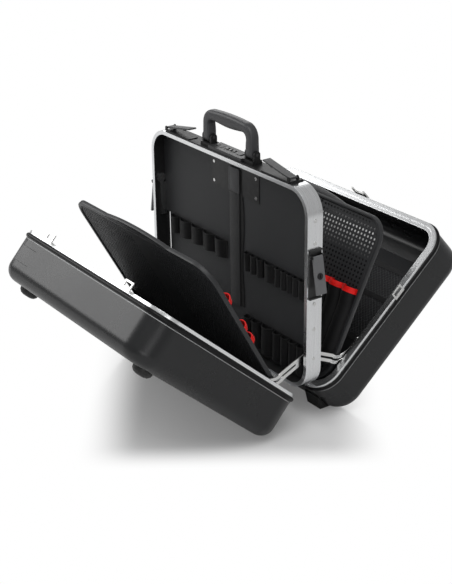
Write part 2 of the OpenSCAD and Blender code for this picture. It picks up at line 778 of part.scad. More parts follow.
module side_latch(end) {
    post_y = rim_y - loop_side - 1 - hook_post[1];
    color(charcoal) mirror([end == NEAR ? 0 : 1, 0, 0]) in_frame()
        translate([side_pivot_x, 0, side_pivot_z]) rotate([0, -side_raise, 0]) difference() {
            union() {
                translate([-side_t / 2, -side_w / 2, -side_len]) cube([side_t, side_w, side_len]);
                rotate([90, 0, 0]) cylinder(r = side_t / 2, h = side_w, center = true);
                translate([-side_t / 2 - loop_t - loop_slip, post_y, side_catch_z - side_pivot_z - hook_post[0] / 2])
                    cube([loop_t + loop_slip + 1, hook_post[1], hook_post[0]]);
            }
            rotate([90, 0, 0]) cylinder(r = latch_pin_r + pin_slip, h = side_w + 2, center = true);
            translate([-side_t, 0, key_z - side_pivot_z]) rotate([0, 90, 0])
                cylinder(r = key_r + pin_slip, h = 2 * side_t);
        }
}
module side_latch_near() { side_latch(NEAR); }
module side_latch_far() { side_latch(FAR); }
module key(end) {
    key_len = side_t + key_proud;
    color(steel) mirror([end == NEAR ? 0 : 1, 0, 0]) in_frame()
        translate([side_pivot_x, 0, side_pivot_z]) rotate([0, -side_raise, 0])
            translate([-side_t / 2, 0, key_z - side_pivot_z]) rotate([0, 90, 0]) difference() {
                cylinder(r = key_r, h = key_len);
                translate([-key_r / 2, -key_slot_w / 2, key_len / 2]) cube([key_r, key_slot_w, key_len]);
            }
}
module key_near() { key(NEAR); }
module key_far() { key(FAR); }
back_plate = [3, 14, 70];
back_disc_r = 10;
module latch_backs() {
    inner_x = case_w / 2 - liner_in;
    color(steel) in_frame() for (end = [NEAR, FAR]) mirror([end == NEAR ? 0 : 1, 0, 0]) {
        translate([inner_x - back_plate[0], panel_y - back_plate[1], side_pivot_z - back_plate[2]])
            cube([back_plate[0], back_plate[1] - loop_slip, back_plate[2]]);
        translate([inner_x, panel_y - back_disc_r - loop_slip, side_pivot_z + back_disc_r])
            rotate([0, -90, 0]) cylinder(r = back_disc_r, h = back_plate[0]);
    }
}

// Stays
module stay_pivots() {
    boss_r = stay_pivot_r + 2.5;
    inner_x = case_w / 2 - liner_in;
    boss_end = left_stay_x + stay_t + stay_gap;
    tip = right_stay_x - stay_gap;
    head_t = 1.2;
    color(steel) in_frame() for (end = [NEAR, FAR]) mirror([end == NEAR ? 0 : 1, 0, 0])
        translate([0, 0, stay_z]) rotate([0, 90, 0]) {
            translate([0, 0, boss_end]) cylinder(r = boss_r, h = inner_x - boss_end);
            translate([0, 0, tip]) cylinder(r = stay_pivot_r, h = boss_end - tip);
            translate([0, 0, tip - head_t]) cylinder(r = boss_r - 1, h = head_t);
            translate([0, 0, case_w / 2]) cylinder(r = stay_pivot_r, h = rivet_h);
        }
}
module stay(side, end) {
    x = side == LEFT ? left_stay_x : right_stay_x;
    color(steel) translate([0, 0, frame_z + stay_z]) mirror([end == NEAR ? 0 : 1, 0, 0])
        mirror([0, side == LEFT ? 1 : 0, 0]) translate([x + stay_t / 2, 0, 0]) along_x(stay_t) difference() {
            strip(concat([[0, 0]], slot_line), stay_w / 2);
            strip(slot_line, stay_pin_r + slot_slip);
            circle(stay_pivot_r + pin_slip);
        }
}
module left_stay_near() { stay(LEFT, NEAR); }
module left_stay_far() { stay(LEFT, FAR); }
module right_stay_near() { stay(RIGHT, NEAR); }
module right_stay_far() { stay(RIGHT, FAR); }
module stay_pins(side) {
    shoulder_r = stay_pin_r + 1.2;
    wall_x = case_w / 2 - shell_wall;
    near_face = side == LEFT ? left_stay_x + stay_t : right_stay_x + stay_t;
    tip = near_face - stay_t - 2 * stay_gap;
    head_t = 0.8;
    color(steel) in_shell(side) for (end = [NEAR, FAR]) mirror([end == NEAR ? 0 : 1, 0, 0])
        translate([0, stay_pin_h, stay_pin_d]) rotate([0, 90, 0]) {
            translate([0, 0, near_face + stay_gap / 2]) cylinder(r = shoulder_r, h = wall_x - near_face - stay_gap / 2);
            translate([0, 0, tip]) cylinder(r = stay_pin_r, h = near_face + stay_gap / 2 - tip);
            translate([0, 0, tip - head_t + stay_gap]) cylinder(r = shoulder_r, h = head_t);
        }
}
module left_stay_pins() { stay_pins(LEFT); }
module right_stay_pins() { stay_pins(RIGHT); }

// Shell hinges
hinge_places = [-hinge_pitch, 0, hinge_pitch];
knuckle_w = hinge_len / 3;
module frame_hinge_leaves() {
    plate_half = hinge_y + knuckle_r;
    plate_thick = 2;
    color(steel) in_frame() for (x = hinge_places) translate([x, 0, 0]) {
        translate([-hinge_len / 2, -plate_half, -plate_thick]) cube([hinge_len, 2 * plate_half, plate_thick]);
        for (side = [-1, 1], end = [-1, 1]) translate([end * knuckle_w, side * hinge_y, 0])
            along_x(knuckle_w) difference() {
                union() {
                    translate([-knuckle_r, -hinge_drop]) square([2 * knuckle_r, hinge_drop - plate_thick / 2]);
                    translate([0, -hinge_drop]) circle(knuckle_r);
                }
                translate([0, -hinge_drop]) circle(hinge_pin_r + pin_slip);
            }
    }
}
module hinge_pins() {
    color(steel) in_frame() for (x = hinge_places, side = [-1, 1])
        translate([x - hinge_len / 2, side * hinge_y, -hinge_drop]) rotate([0, 90, 0])
            cylinder(r = hinge_pin_r, h = hinge_len);
}
module hinge_leaves(side) {
    axis_d = hinge_y - rim_y;
    top = -bead_h;
    leaf_rest = rim_side + bead_w + 1;
    color(steel) in_shell(side) for (x = hinge_places) translate([x, 0, 0])
        rotate([90, 0, 90]) translate([0, 0, knuckle_gap - knuckle_w / 2])
            linear_extrude(knuckle_w - 2 * knuckle_gap) difference() {
                union() {
                    translate([-hinge_drop, axis_d]) circle(knuckle_r);
                    translate([top - leaf_t, axis_d]) square([leaf_t, leaf_reach - axis_d]);
                    translate([top - leaf_t, axis_d - knuckle_r / 2]) square([leaf_t, knuckle_r]);
                    translate([top - 0.5, leaf_rest]) square([bead_h + 0.5, leaf_reach - leaf_rest]);
                    translate([-hinge_drop, axis_d]) square([hinge_drop + top - leaf_t / 2, knuckle_r]);
                }
                translate([-hinge_drop, axis_d]) circle(hinge_pin_r + pin_slip);
            }
}
module left_hinge_leaves() { hinge_leaves(LEFT); }
module right_hinge_leaves() { hinge_leaves(RIGHT); }

// Half shells
badge_recess = [66, 32, 1.6];
badge_end = 59;
badge_x = badge_end - case_w / 2;
badge_d = 31;
module tray(side) {
    edge = shell_edge_r;
    inner_edge = shell_edge_r - shell_wall;
    color(charcoal) in_shell(side) difference() {
        union() {
            ring(case_w, case_h, corner_r) difference() {
                union() {
                    translate([0, rim_side]) square([edge, shell_d - edge - rim_side]);
                    translate([edge, shell_d - edge]) circle(edge);
                    translate([edge, rim_side]) square([corner_r - edge, shell_d - rim_side]);
                }
                translate([shell_wall, 0]) square([corner_r + 1, shell_d - edge]);
                translate([edge, shell_d - edge]) circle(inner_edge);
                translate([edge, 0]) square([corner_r, shell_d - shell_wall]);
            }
            translate([corner_r - case_w / 2, corner_r, shell_d - shell_wall])
                cube([case_w - 2 * corner_r, case_h - 2 * corner_r, shell_wall]);
        }
        if (side == LEFT) translate([badge_x - badge_recess[0] / 2, case_h - badge_recess[2], badge_d])
            cube([badge_recess[0], 2 * badge_recess[2], badge_recess[1]]);
    }
}
module left_tray() { tray(LEFT); }
module right_tray() { tray(RIGHT); }
module rim(side) {
    color(aluminium) in_shell(side) ring(case_w, case_h, corner_r) union() {
        square([rim_outer_w, rim_t]);
        square([shell_wall, rim_side]);
        translate([rim_outer_w - 1, rim_step]) square([rim_inner_w + 1, rim_t]);
    }
}
module left_rim() { rim(LEFT); }
module right_rim() { rim(RIGHT); }
module bead(side) {
    ball = (bead_w * bead_w / 4 + bead_h * bead_h) / (2 * bead_h);
    color(black) in_shell(side) translate([0, -bead_h, 0])
        ring(case_w + 2 * bead_h, case_h + 2 * bead_h, corner_r + bead_h) intersection() {
            translate([0, rim_side - 1]) square([bead_h, bead_w + 2]);
            translate([ball, rim_side + bead_w / 2]) circle(ball);
        }
}
module left_bead() { bead(LEFT); }
module right_bead() { bead(RIGHT); }

// Square loop, drawn flat: reaches towards -y from its base
loop_tail = 2;
module catch_loop(lift) {
    difference() {
        translate([-loop_w / 2, -loop_reach, lift]) cube([loop_w, loop_reach + loop_tail, loop_t]);
        translate([loop_side - loop_w / 2, loop_side - loop_reach, lift - 1])
            cube([loop_w - 2 * loop_side, loop_reach - 2 * loop_side + 1, loop_t + 2]);
    }
    translate([-loop_w / 2, 0, 0]) cube([loop_w, loop_base_d, lift + loop_t / 2]);
}
module left_catch_loops() {
    lift = latch_loop_z - case_h;
    color(steel) in_shell(LEFT) for (end = [NEAR, FAR])
        translate([end * catch_x, case_h, 0]) mirror([0, 1, -1]) catch_loop(lift);
}
module right_side_catches() {
    lift = side_loop_x - case_w / 2;
    color(steel) in_shell(RIGHT) for (end = [NEAR, FAR]) mirror([end == NEAR ? 0 : 1, 0, 0])
        translate([case_w / 2, side_catch_z, 0]) rotate([0, 90, 0]) rotate([0, 0, 90]) catch_loop(lift);
}
module right_lock_hooks() {
    base_d = 12;
    barb = 1.2;
    tab = [24, 1.5, 22];
    color(steel) in_shell(RIGHT) translate([0, case_h, 0]) {
        translate([-hook_x - hook_w / 2, bead_h, 1]) cube([2 * hook_x + hook_w, hook_t, base_d]);
        for (end = [NEAR, FAR]) translate([end * hook_x - hook_w / 2, bead_h, -hook_reach])
            difference() {
                cube([hook_w, hook_t, hook_reach + 2]);
                translate([-1, hook_t - barb, 2]) cube([hook_w + 2, barb + 1, 3]);
            }
        translate([-tab[0] / 2, -shell_wall - tab[1], rim_t + rim_step]) cube(tab);
    }
}

// Feet: wedges under the bottom wall, cut flat by the ground when the case stands open, and domes on
// the big face
module foot_section() {
    edge = shell_edge_r;
    flat_end = shell_d - edge;
    outer_end = shell_d - edge / 3;
    difference() {
        polygon([[0, foot_start], [-2, foot_start], [-foot_h, flat_end], [-foot_h, outer_end], [edge / 2, outer_end],
            [0, flat_end]]);
        translate([edge, flat_end]) circle(edge);
    }
}
module face_foot() {
    half = face_foot_w / 2;
    rotate_extrude() polygon([[0, 0], [half, 0], [half * 0.92, face_foot_h * 0.5], [half * 0.7, face_foot_h * 0.85],
        [half * 0.4, face_foot_h], [0, face_foot_h]]);
}
module feet(side) {
    ground = 2 * (case_w + case_h);
    color(black) {
        intersection() {
            in_shell(side) for (end = [NEAR, FAR]) translate([end * foot_x, 0, 0])
                rotate([90, 0, 90]) translate([0, 0, -foot_w / 2]) linear_extrude(foot_w) foot_section();
            translate([-ground / 2, -ground / 2, 0]) cube(ground);
        }
        in_shell(side) for (end = [NEAR, FAR])
            translate([end * (case_w / 2 - shell_edge_r - face_foot_w / 2), case_h - face_foot_edge, shell_d])
                face_foot();
    }
}
module left_feet() { feet(LEFT); }
module right_feet() { feet(RIGHT); }

// Tool boards
board_foot = 8;
module board_brackets(side) {
    reach = board_knuckle_w / 2 + ear_gap + board_ear_t / 2;
    pin_len = board_knuckle_w + 2 * ear_gap + 2 * board_ear_t;
    color(black) in_shell(side) for (end = [NEAR, FAR]) translate([end * board_hinge_x, 0, 0])
        rotate([90, 0, 90]) {
            for (ear = [-1, 1]) translate([0, 0, ear * reach - board_ear_t / 2]) linear_extrude(board_ear_t) union() {
                translate([shell_wall, board_hinge_d - board_knuckle_r])
                    square([board_hinge_h - shell_wall, 2 * board_knuckle_r]);
                translate([board_hinge_h, board_hinge_d]) circle(board_knuckle_r);
            }
            translate([board_hinge_h, board_hinge_d, -pin_len / 2]) cylinder(r = board_pin_r, h = pin_len);
        }
}
module left_board_brackets() { board_brackets(LEFT); }
module right_board_brackets() { board_brackets(RIGHT); }
module board(side) {
    r = corner_r - shell_wall - 3;
    h = side == LEFT ? left_board_h : right_board_h;
    bow_r = (bow_w * bow_w / 4 + bow_h * bow_h) / (2 * bow_h);
    color(grey) on_board(side) difference() {
        union() {
            translate([0, board_foot, -board_t / 2]) linear_extrude(board_t)
                rounded_rect(board_w, h - board_foot, r);
            translate([0, board_foot, 0]) ring(board_w, h - board_foot, r)
                translate([0, -border_front]) square([border_w, border_front + border_back]);
            translate([0, h, 0.5 - border_front]) linear_extrude(border_front + border_back - 1) intersection() {
                translate([0, bow_h - bow_r]) circle(bow_r, $fn = 360);
                translate([-bow_w / 2 - 3, -border_w / 2]) square([bow_w + 6, bow_h + border_w]);
            }
            for (end = [NEAR, FAR]) translate([end * board_hinge_x, 0, 0]) {
                translate([-board_knuckle_w / 2, 0, -board_t / 2])
                    cube([board_knuckle_w, board_foot + 2, board_t]);
                rotate([0, 90, 0]) cylinder(r = board_knuckle_r, h = board_knuckle_w, center = true);
            }
        }
        translate([0, h - bow_slot_h + bow_h / 4, -border_front - 1]) linear_extrude(2 * border_front + border_back)
            rounded_rect(bow_slot_w, bow_slot_h, bow_slot_h / 3);
        for (end = [NEAR, FAR]) translate([end * board_hinge_x, 0, 0]) rotate([0, 90, 0])
            cylinder(r = board_pin_r + pin_slip, h = board_knuckle_w + 2, center = true);
    }
}
module left_board() { board(LEFT); }
module right_board() { board(RIGHT); }

// Sleeves: [distance from the board's side, number of sleeves, top, bottom] of each row
left_rows = [[10, 1, 251, 200], [10, 1, 182, 168], [10, 1, 152, 46], [46, 1, 152, 26]];
right_rows = [[10, 1, 187, 46], [46, 3, 187, 26]];
function sleeve_place(row, i) = board_w / 2 - row[0] - sleeve_w / 2 - i * (sleeve_w + sleeve_gap);
module sleeves(side, rows) {
    color(black) on_board(side) for (row = rows, i = [0:row[1] - 1])
        translate([sleeve_place(row, i), row[2], -board_t / 2]) rotate([90, 0, 0])
            linear_extrude(row[2] - row[3]) difference() {
                bulge(sleeve_w, sleeve_bulge);
                translate([0, -cloth_t]) bulge(sleeve_w - 2 * cloth_t, sleeve_bulge - 2 * cloth_t);
            }
}
module left_sleeves() { sleeves(LEFT, left_rows); }
module right_sleeves() { sleeves(RIGHT, right_rows); }
module collars(side, rows) {
    color(red) on_board(side) for (row = rows, i = [0:row[1] - 1])
        translate([sleeve_place(row, i), row[2] + collar_h, -board_t / 2]) rotate([90, 0, 0])
            linear_extrude(collar_h) difference() {
                bulge(sleeve_w, sleeve_bulge + collar_t);
                translate([0, -cloth_t]) bulge(sleeve_w - 2 * cloth_t, sleeve_bulge - 2 * cloth_t);
            }
}
module left_collars() { collars(LEFT, left_rows); }
module right_collars() { collars(RIGHT, right_rows); }

// Net pocket on the right shell's big face
module right_net_pocket() {
    net_h = net_top - net_bottom;
    pitch_x = (net_w - 2 * net_band + net_strand) / net_columns;
    pitch_h = (net_h - 2 * net_band + net_strand) / net_rows;
    color(charcoal) in_shell(RIGHT) translate([0, net_bottom, shell_d - shell_wall - net_t])
        linear_extrude(net_t) difference() {
            translate([-net_w / 2, 0]) square([net_w, net_h]);
            for (i = [0:net_columns - 1], j = [0:net_rows - 1])
                translate([net_band - net_w / 2 + i * pitch_x, net_band + j * pitch_h])
                    square([pitch_x - net_strand, pitch_h - net_strand]);
        }
}

frame_band();
frame_liner();
tool_panel();
reinforcement_plate();
rivets();
holding_strap();
upper_loops();
lower_pockets();
lip_clips();
top_rail();
lock_housing();
handle_ears();
pivot_pins();
top_latch_bases();
side_latch_plates();
latch_backs();
stay_pivots();
frame_hinge_leaves();
hinge_pins();
left_tray();
left_rim();
left_bead();
left_catch_loops();
left_feet();
left_hinge_leaves();
left_stay_pins();
left_board_brackets();
right_tray();
right_rim();
right_bead();
right_lock_hooks();
right_side_catches();
right_feet();
right_hinge_leaves();
right_stay_pins();
right_board_brackets();
right_net_pocket();
left_board();
left_sleeves();
left_collars();
right_board();
right_sleeves();
right_collars();
handle();
top_latch_near();
top_latch_far();
side_latch_near();
side_latch_far();
key_near();
key_far();
dial_near();
dial_mid();
dial_far();
slide_near();
slide_far();
left_stay_near();
left_stay_far();
right_stay_near();
right_stay_far();
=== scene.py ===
"""Tool case standing open: finishes, soft goods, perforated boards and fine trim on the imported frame."""

import json
import math
import random

import bmesh
import bpy
from mathutils import Matrix, Vector
from mathutils.geometry import delaunay_2d_cdt


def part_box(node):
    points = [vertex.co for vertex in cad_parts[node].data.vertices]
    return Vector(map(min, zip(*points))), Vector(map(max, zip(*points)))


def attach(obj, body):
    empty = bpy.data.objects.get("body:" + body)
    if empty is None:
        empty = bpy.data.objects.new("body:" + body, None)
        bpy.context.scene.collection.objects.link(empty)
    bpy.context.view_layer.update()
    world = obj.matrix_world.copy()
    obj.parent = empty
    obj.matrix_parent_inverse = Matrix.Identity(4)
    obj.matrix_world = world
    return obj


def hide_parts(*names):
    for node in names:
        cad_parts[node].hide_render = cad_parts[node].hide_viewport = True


bl_info = {
    "name": "Tool case",
    "version": (1, 0, 0),
    "blender": (4, 5, 0),
    "location": "3D View > Sidebar > Tool case",
    "description": "Dresses the tool case: boards, cloth, latches, shells, finishes and stage",
    "category": "Object",
}

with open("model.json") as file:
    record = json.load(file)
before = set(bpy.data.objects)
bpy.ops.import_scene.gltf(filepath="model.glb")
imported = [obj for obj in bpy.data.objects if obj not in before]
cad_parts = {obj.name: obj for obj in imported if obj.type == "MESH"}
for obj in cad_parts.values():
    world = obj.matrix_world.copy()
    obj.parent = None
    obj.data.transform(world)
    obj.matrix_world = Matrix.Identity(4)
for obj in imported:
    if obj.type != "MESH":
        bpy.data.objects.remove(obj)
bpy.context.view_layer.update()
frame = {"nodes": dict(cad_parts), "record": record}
RECORD = frame["record"]
BODY_OF = {part: body for body, parts in RECORD["behaviour"]["bodies"].items() for part in parts}
SLOT_OF = {part["node"]: part["material_slot"] for part in RECORD["subparts"]}
JOINT = {joint["name"]: joint for joint in RECORD["behaviour"]["joints"]}

MM = 0.001
LEFT, RIGHT = -1, 1
NEAR, FAR = 1, -1
SIDE_NAME = {LEFT: "left", RIGHT: "right"}

# Frame and half shells

OPEN = math.radians(JOINT["right_shell_fold"]["range_deg"][1])
HINGE_Y = JOINT["right_shell_fold"]["pos_m"][1]
AXIS_Z = JOINT["right_shell_fold"]["pos_m"][2]
FRAME_LOW, FRAME_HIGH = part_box("frame_band")
FRAME_Z = FRAME_LOW.z
CASE_W = FRAME_HIGH.x - FRAME_LOW.x
CASE_H = FRAME_HIGH.z - FRAME_LOW.z
RIM_Y = (FRAME_HIGH.y - FRAME_LOW.y) / 2 + 0.3 * MM
HINGE_DROP = FRAME_Z - AXIS_Z
CORNER_R = 50 * MM
SHELL_D = 100 * MM

# Tool boards: outline, grip bow, finger slot, plate, a sheet behind the holes that carries painted light, and
# knuckles

BOARD_HINGE = (14 * MM, 22 * MM)
BOARD_W, BOARD_FOOT, BOARD_R = 466 * MM, 8 * MM, 44.5 * MM
BOARD_H = {LEFT: 351 * MM, RIGHT: 337 * MM}
LEAN = {side: -math.radians(JOINT[name + "_board_swing"]["range_deg"][0]) for side, name in SIDE_NAME.items()}
BOW_W, BOW_H = 220 * MM, 11 * MM
BOW_R = (BOW_W ** 2 / 4 + BOW_H ** 2) / (2 * BOW_H)
SLOT_W, SLOT_H, SLOT_R = 84 * MM, 18 * MM, 6 * MM
PLATE_INSET, PLATE_T = 7 * MM, 1 * MM
HOLE_MARGIN, SMOOTH_HALF = 5 * MM, 34 * MM
SLOT_SIDE_CLEAR, SLOT_LOW_CLEAR = 6 * MM, 8 * MM
ROW_SHARE = {LEFT: 0.86, RIGHT: 0.93}
HOLE_SIDES = {LEFT: 6, RIGHT: 8}
# The sheet behind the holes is there only to carry painted light and painted glints.
PAINTED_LINING_INSET, PAINTED_LINING_OFF, PAINTED_LINING_T = 8 * MM, 0.52 * MM, 0.25 * MM
KNUCKLE_X, KNUCKLE_HALF, KNUCKLE_R = 150 * MM, 12 * MM, 5 * MM
LEAF_LOW, LEAF_HIGH, LEAF_HALF = 3 * MM, BOARD_FOOT + 2 * MM, 1.5 * MM
# Sections in mm as (inwards, depth)
BORDER_SECTION = [(0.0, -4.4), (0.4, -5.5), (1.5, -6.0), (5.6, -6.0), (6.8, -5.6), (7.6, -4.6), (8.4, -1.7),
                  (9.0, -1.2), (9.0, 1.2), (8.2, 1.6), (7.4, 2.6), (6.4, 3.0), (1.5, 3.0), (0.5, 2.6),
                  (0.0, 1.6)]
SLOT_RIM_SECTION = [(0.0, -1.2), (0.0, -2.6), (-1.2, -3.4), (-2.8, -2.6), (-3.4, -1.2)]
# The fine line below each shell's bead is a real small ridge whose pale colour is a painted highlight.
SHELL_LINE_SECTION = [(0.3, 16.0), (-0.35, 16.1), (-0.6, 16.5), (-0.6, 16.9), (-0.35, 17.3), (0.3, 17.4)]

# Handle

LEG_W = 19.5 * MM
OUTER_R, INNER_R = 27 * MM, 11 * MM
GRIP_H, GRIP_CROWN, GRIP_BELLY = 22 * MM, 5.2 * MM, 3.0 * MM
LEG_ROUND, CORNER_ROUND, GRIP_ROUND = 0.35, 0.50, 0.62
RIB_COUNT, RIB_PITCH = 15, 5.2 * MM

# Cloth of the frame, in mm: top, height and bulge of each row, and its widths outwards from the middle

CLOTH_ROWS = {
    "upper_loops": (208, 36, 12, {FAR: [38, 38, 38, 38, 24], NEAR: [16, 16, 16, 34, 14, 14, 14, 14, 14]}),
    "lower_pockets": (76, 56, 15, {FAR: [54, 54, 54], NEAR: [20, 24, 36, 22, 20, 20, 20]}),
}
ROW_START = {FAR: 30.0, NEAR: 36.0}
ROW_GAP, ROW_END = 4.0, 2
PANEL_Y, CLOTH_T, CLOTH_BACK = 10.0, 1.4, 0.7

# Cloth of the boards, in mm: outer edge of a row's first sleeve, count, top and bottom

SLEEVE_ROWS = {LEFT: [(223, 1, 251, 200), (223, 1, 182, 168), (223, 1, 152, 46), (187, 1, 152, 26)],
               RIGHT: [(223, 1, 187, 46), (187, 3, 187, 26)]}
SLEEVE_W, SLEEVE_PITCH, SLEEVE_BULGE, SLEEVE_FLARE = 35, 36, 12.4, 0.55
COLLAR_H, COLLAR_BULGE, COLLAR_T = 11, 20.5, 2.2
SLEEVE_OFF, SEAM_INSET = 1.5, 0.6

# Net pocket in the right half shell, in mm: half width, heights up the shell, and rows as (low, high)

POCKET_HALF, POCKET_LOW, POCKET_HIGH, POCKET_R = 190, 60, 338, 12
POCKET_BANDS = ((300, 312), (235, 245), (140, 152))
POCKET_NETS = ((152, 235), (245, 300))
POCKET_EDGE, WALL_T, STRAND_R, STRAND_OFF = 12, 2.5, 0.42, 0.25
# Depths in mm off the shell's wall: the back's edge and face, the bands' back and front, the net
BACK_EDGE, BACK_FACE, BACK_ROUND, BAND_BACK, BAND_FRONT, NET_DEPTH = 0.9, 1.2, 0.4, 1.1, 3.0, 2.1

# Number dials: sizes, and the digit that is up at rest

DIAL_R, DIGIT_H, DIGIT_RAISE = 6 * MM, 4.4 * MM, 0.08 * MM
FIRST_DIGIT = {"dial_near": 4, "dial_mid": 7, "dial_far": 2}

# Camera as fitted to the long edges in the photograph: angles in radians, focal length and height in pixels

CAMERA_AZIMUTH, CAMERA_HEIGHT, CAMERA_ROLL = 0.9663155, 0.4122974, -0.0151084
CAMERA_PLACE = (1.95371, -1.36493, 1.15466)
FOCAL_PX, PICTURE_H_PX, SENSOR_H = 1331.4246, 584.0, 36.0

# Stage: the lamps' places, targets, sizes and shares of the key light, and where the floor fades to white

LAMPS = {
    "Key": ((-2.4, -1.5, 1.7), (-0.1, -0.2, 0.25), (2.0, 1.6), 0.95),
    "Top": ((0.9, -0.8, 2.8), (0.0, 0.0, 0.2), (2.2, 1.8), 1.15),
    "Fill": ((2.8, -2.2, 1.0), (0.0, 0.0, 0.2), (1.8, 1.2), 0.38),
    "Rear": ((-2.2, 1.8, 1.6), (0.0, 0.0, 0.4), (1.8, 1.4), 0.5),
}
WHITE = (1.0, 1.0, 1.0, 1.0)
WORLD_LIGHT, WORLD_MIRROR = 0.25, 0.15
FLOOR_HALF, FLOOR_TONE, FLOOR_LIFT = 14.0, (0.90, 0.90, 0.90, 1.0), 0.12
FLOOR_FADES = (((0.82, -0.57, 0.0), 0.26, 0.35), ((0.57, 0.82, 0.0), 0.17, 0.29))

# Widths in mm to which the sharp edges of solid parts are rounded, and parts with a finish of their own

EDGE_WIDTHS = {
    "lock_housing": 0.6, "handle_ears": 1.2, "top_latch_bases": 0.3, "top_latch_near": 0.5,
    "top_latch_far": 0.5, "side_latch_plates": 0.5, "side_latch_near": 0.8, "side_latch_far": 0.8,
    "slide_near": 0.4, "slide_far": 0.4, "left_feet": 2.5, "right_feet": 2.5, "top_rail": 0.5,
    "key_near": 0.3, "key_far": 0.3, "left_stay_near": 0.3, "left_stay_far": 0.3,
    "right_stay_near": 0.3, "right_stay_far": 0.3, "left_catch_loops": 0.6,
    "right_side_catches": 0.6, "right_lock_hooks": 0.4, "frame_hinge_leaves": 0.4, "left_hinge_leaves": 0.4,
    "right_hinge_leaves": 0.4, "reinforcement_plate": 0.3, "dial_near": 0.3, "dial_mid": 0.3, "dial_far": 0.3,
    "lip_clips": 0.5, "latch_backs": 0.4, "left_rim": 0.5, "right_rim": 0.5, "frame_band": 0.35,
    "left_board_brackets": 0.5, "right_board_brackets": 0.5, "stay_pivots": 0.3, "rivets": 0.5,
    "left_tray": 0.7, "right_tray": 0.7,
}
OWN_FINISH = {"tool_panel": "tool_panel", "pivot_pins": "dark_steel", "key_near": "dark_steel",
              "key_far": "dark_steel", "side_latch_near": "lever_metal", "side_latch_far": "lever_metal"}


# Places in the frame, in the half shells and on the boards

def frame_point(x, y, z):
    """Row-frame place of a point given from the frame's bottom."""
    return Vector((x, y, FRAME_Z + z))


def shell_point(side, x, h, d):
    """Row-frame place of (along, up, outwards) in an open half shell."""
    a, b = d + RIM_Y - HINGE_Y, h + HINGE_DROP
    c, s = math.cos(OPEN), math.sin(OPEN)
    return Vector((x, side * (HINGE_Y + a * c + b * s), AXIS_Z + b * c - a * s))


def board_point(side, x, u, w):
    """Row-frame place of (along, up the board, away from the frame) on a leaning tool board."""
    c, s = math.cos(LEAN[side]), math.sin(LEAN[side])
    return shell_point(side, x, BOARD_HINGE[0] + u * c + w * s, BOARD_HINGE[1] - u * s + w * c)


def in_shell(side):
    """Place function of one half shell."""
    return lambda x, h, d: shell_point(side, x, h, d)


def on_board(side):
    """Place function of one tool board."""
    return lambda x, u, w: board_point(side, x, u, w)


def as_given(x, y, z):
    """Place function of the row frame itself."""
    return Vector((x, y, z))


# Mesh helpers

def sharpen(mesh, angle):
    """Shades a mesh smooth except over edges sharper than the angle, in degrees."""
    bm = bmesh.new()
    bm.from_mesh(mesh)
    bmesh.ops.recalc_face_normals(bm, faces=bm.faces)
    limit = math.radians(angle)
    for face in bm.faces:
        face.smooth = True
    for edge in bm.edges:
        edge.smooth = len(edge.link_faces) == 2 and edge.calc_face_angle(0) < limit
    bm.to_mesh(mesh)
    bm.free()


def settle(obj, body, slot, hides=()):
    """Hangs a piece on its body and hides the solids that it stands for."""
    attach(obj, body)
    if hides:
        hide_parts(*hides)


def piece(name, shape, material, body, slot, hides=(), angle=40):
    """Makes a mesh piece in the row frame, finishes it and hangs it on its body."""
    mesh = bpy.data.meshes.new(name)
    mesh.from_pydata([tuple(v) for v in shape.verts], [], shape.faces)
    mesh.validate()
    mesh.materials.append(MATERIAL[material])
    sharpen(mesh, angle)
    obj = bpy.data.objects.new(name, mesh)
    bpy.context.scene.collection.objects.link(obj)
    settle(obj, body, slot, hides)
    return obj


def apply_modifiers(obj):
    """Bakes an object's modifiers into its mesh."""
    graph = bpy.context.evaluated_depsgraph_get()
    graph.update()
    made = bpy.data.meshes.new_from_object(obj.evaluated_get(graph))
    obj.modifiers.clear()
    old, obj.data = obj.data, made
    bpy.data.meshes.remove(old)


class Shape:
    """Collects the vertices and faces of one piece."""

    BOX_FACES = [(0, 1, 3, 2), (4, 6, 7, 5), (0, 4, 5, 1), (2, 3, 7, 6), (0, 2, 6, 4), (1, 5, 7, 3)]

    def __init__(self):
        self.verts, self.faces = [], []

    def add(self, verts, faces):
        """Adds faces whose numbers count from the first of the added vertices."""
        start = len(self.verts)
        self.verts.extend(verts)
        self.faces.extend([tuple(i + start for i in face) for face in faces])

    def rings(self, loops, closed_path=False):
        """Skins a row of loops of equal length, with capped ends unless the row closes on itself."""
        start, n, count = len(self.verts), len(loops[0]), len(loops)
        for loop in loops:
            self.verts.extend(loop)
        for i in range(count if closed_path else count - 1):
            here, there = start + i * n, start + (i + 1) % count * n
            for k in range(n):
                m = (k + 1) % n
                self.faces.append((here + k, here + m, there + m, there + k))
        if not closed_path:
            self.faces.append(tuple(start + k for k in range(n)))
            self.faces.append(tuple(start + (count - 1) * n + k for k in reversed(range(n))))

    def box(self, place, lo, hi):
        """A box between two corners, mapped by a place function."""
        corners = [place(x, y, z) for z in (lo[2], hi[2]) for y in (lo[1], hi[1]) for x in (lo[0], hi[0])]
        self.add(corners, self.BOX_FACES)

    def rod(self, start, end, radius, sides):
        """A round rod from one point to another."""
        axis = (end - start).normalized()
        helper = Vector((0, 0, 1)) if abs(axis.z) < 0.9 else Vector((1, 0, 0))
        u = axis.cross(helper).normalized()
        v = axis.cross(u)
        turns = [2 * math.pi * k / sides for k in range(sides)]
        self.rings([[centre + radius * (math.cos(a) * u + math.sin(a) * v) for a in turns]
                    for centre in (start, end)])


def rounded_outline(w, h, r, steps, low=0.0):
    """Points and outward directions of a rounded rectangle that is centred in x and stands on low."""
    points = []
    for cx, cy, first in ((w / 2 - r, low + h - r, 0), (r - w / 2, low + h - r, 90),
                          (r - w / 2, low + r, 180), (w / 2 - r, low + r, 270)):
        for i in range(steps + 1):
            a = math.radians(first + 90 * i / steps)
            points.append((cx + r * math.cos(a), cy + r * math.sin(a), math.cos(a), math.sin(a)))
    return points


def inset_loops(outline, steps, place):
    """Copies of an outline, one for each step of (inwards, depth)."""
    return [[place(x - nx * i, y - ny * i, d) for x, y, nx, ny in outline] for i, d in steps]


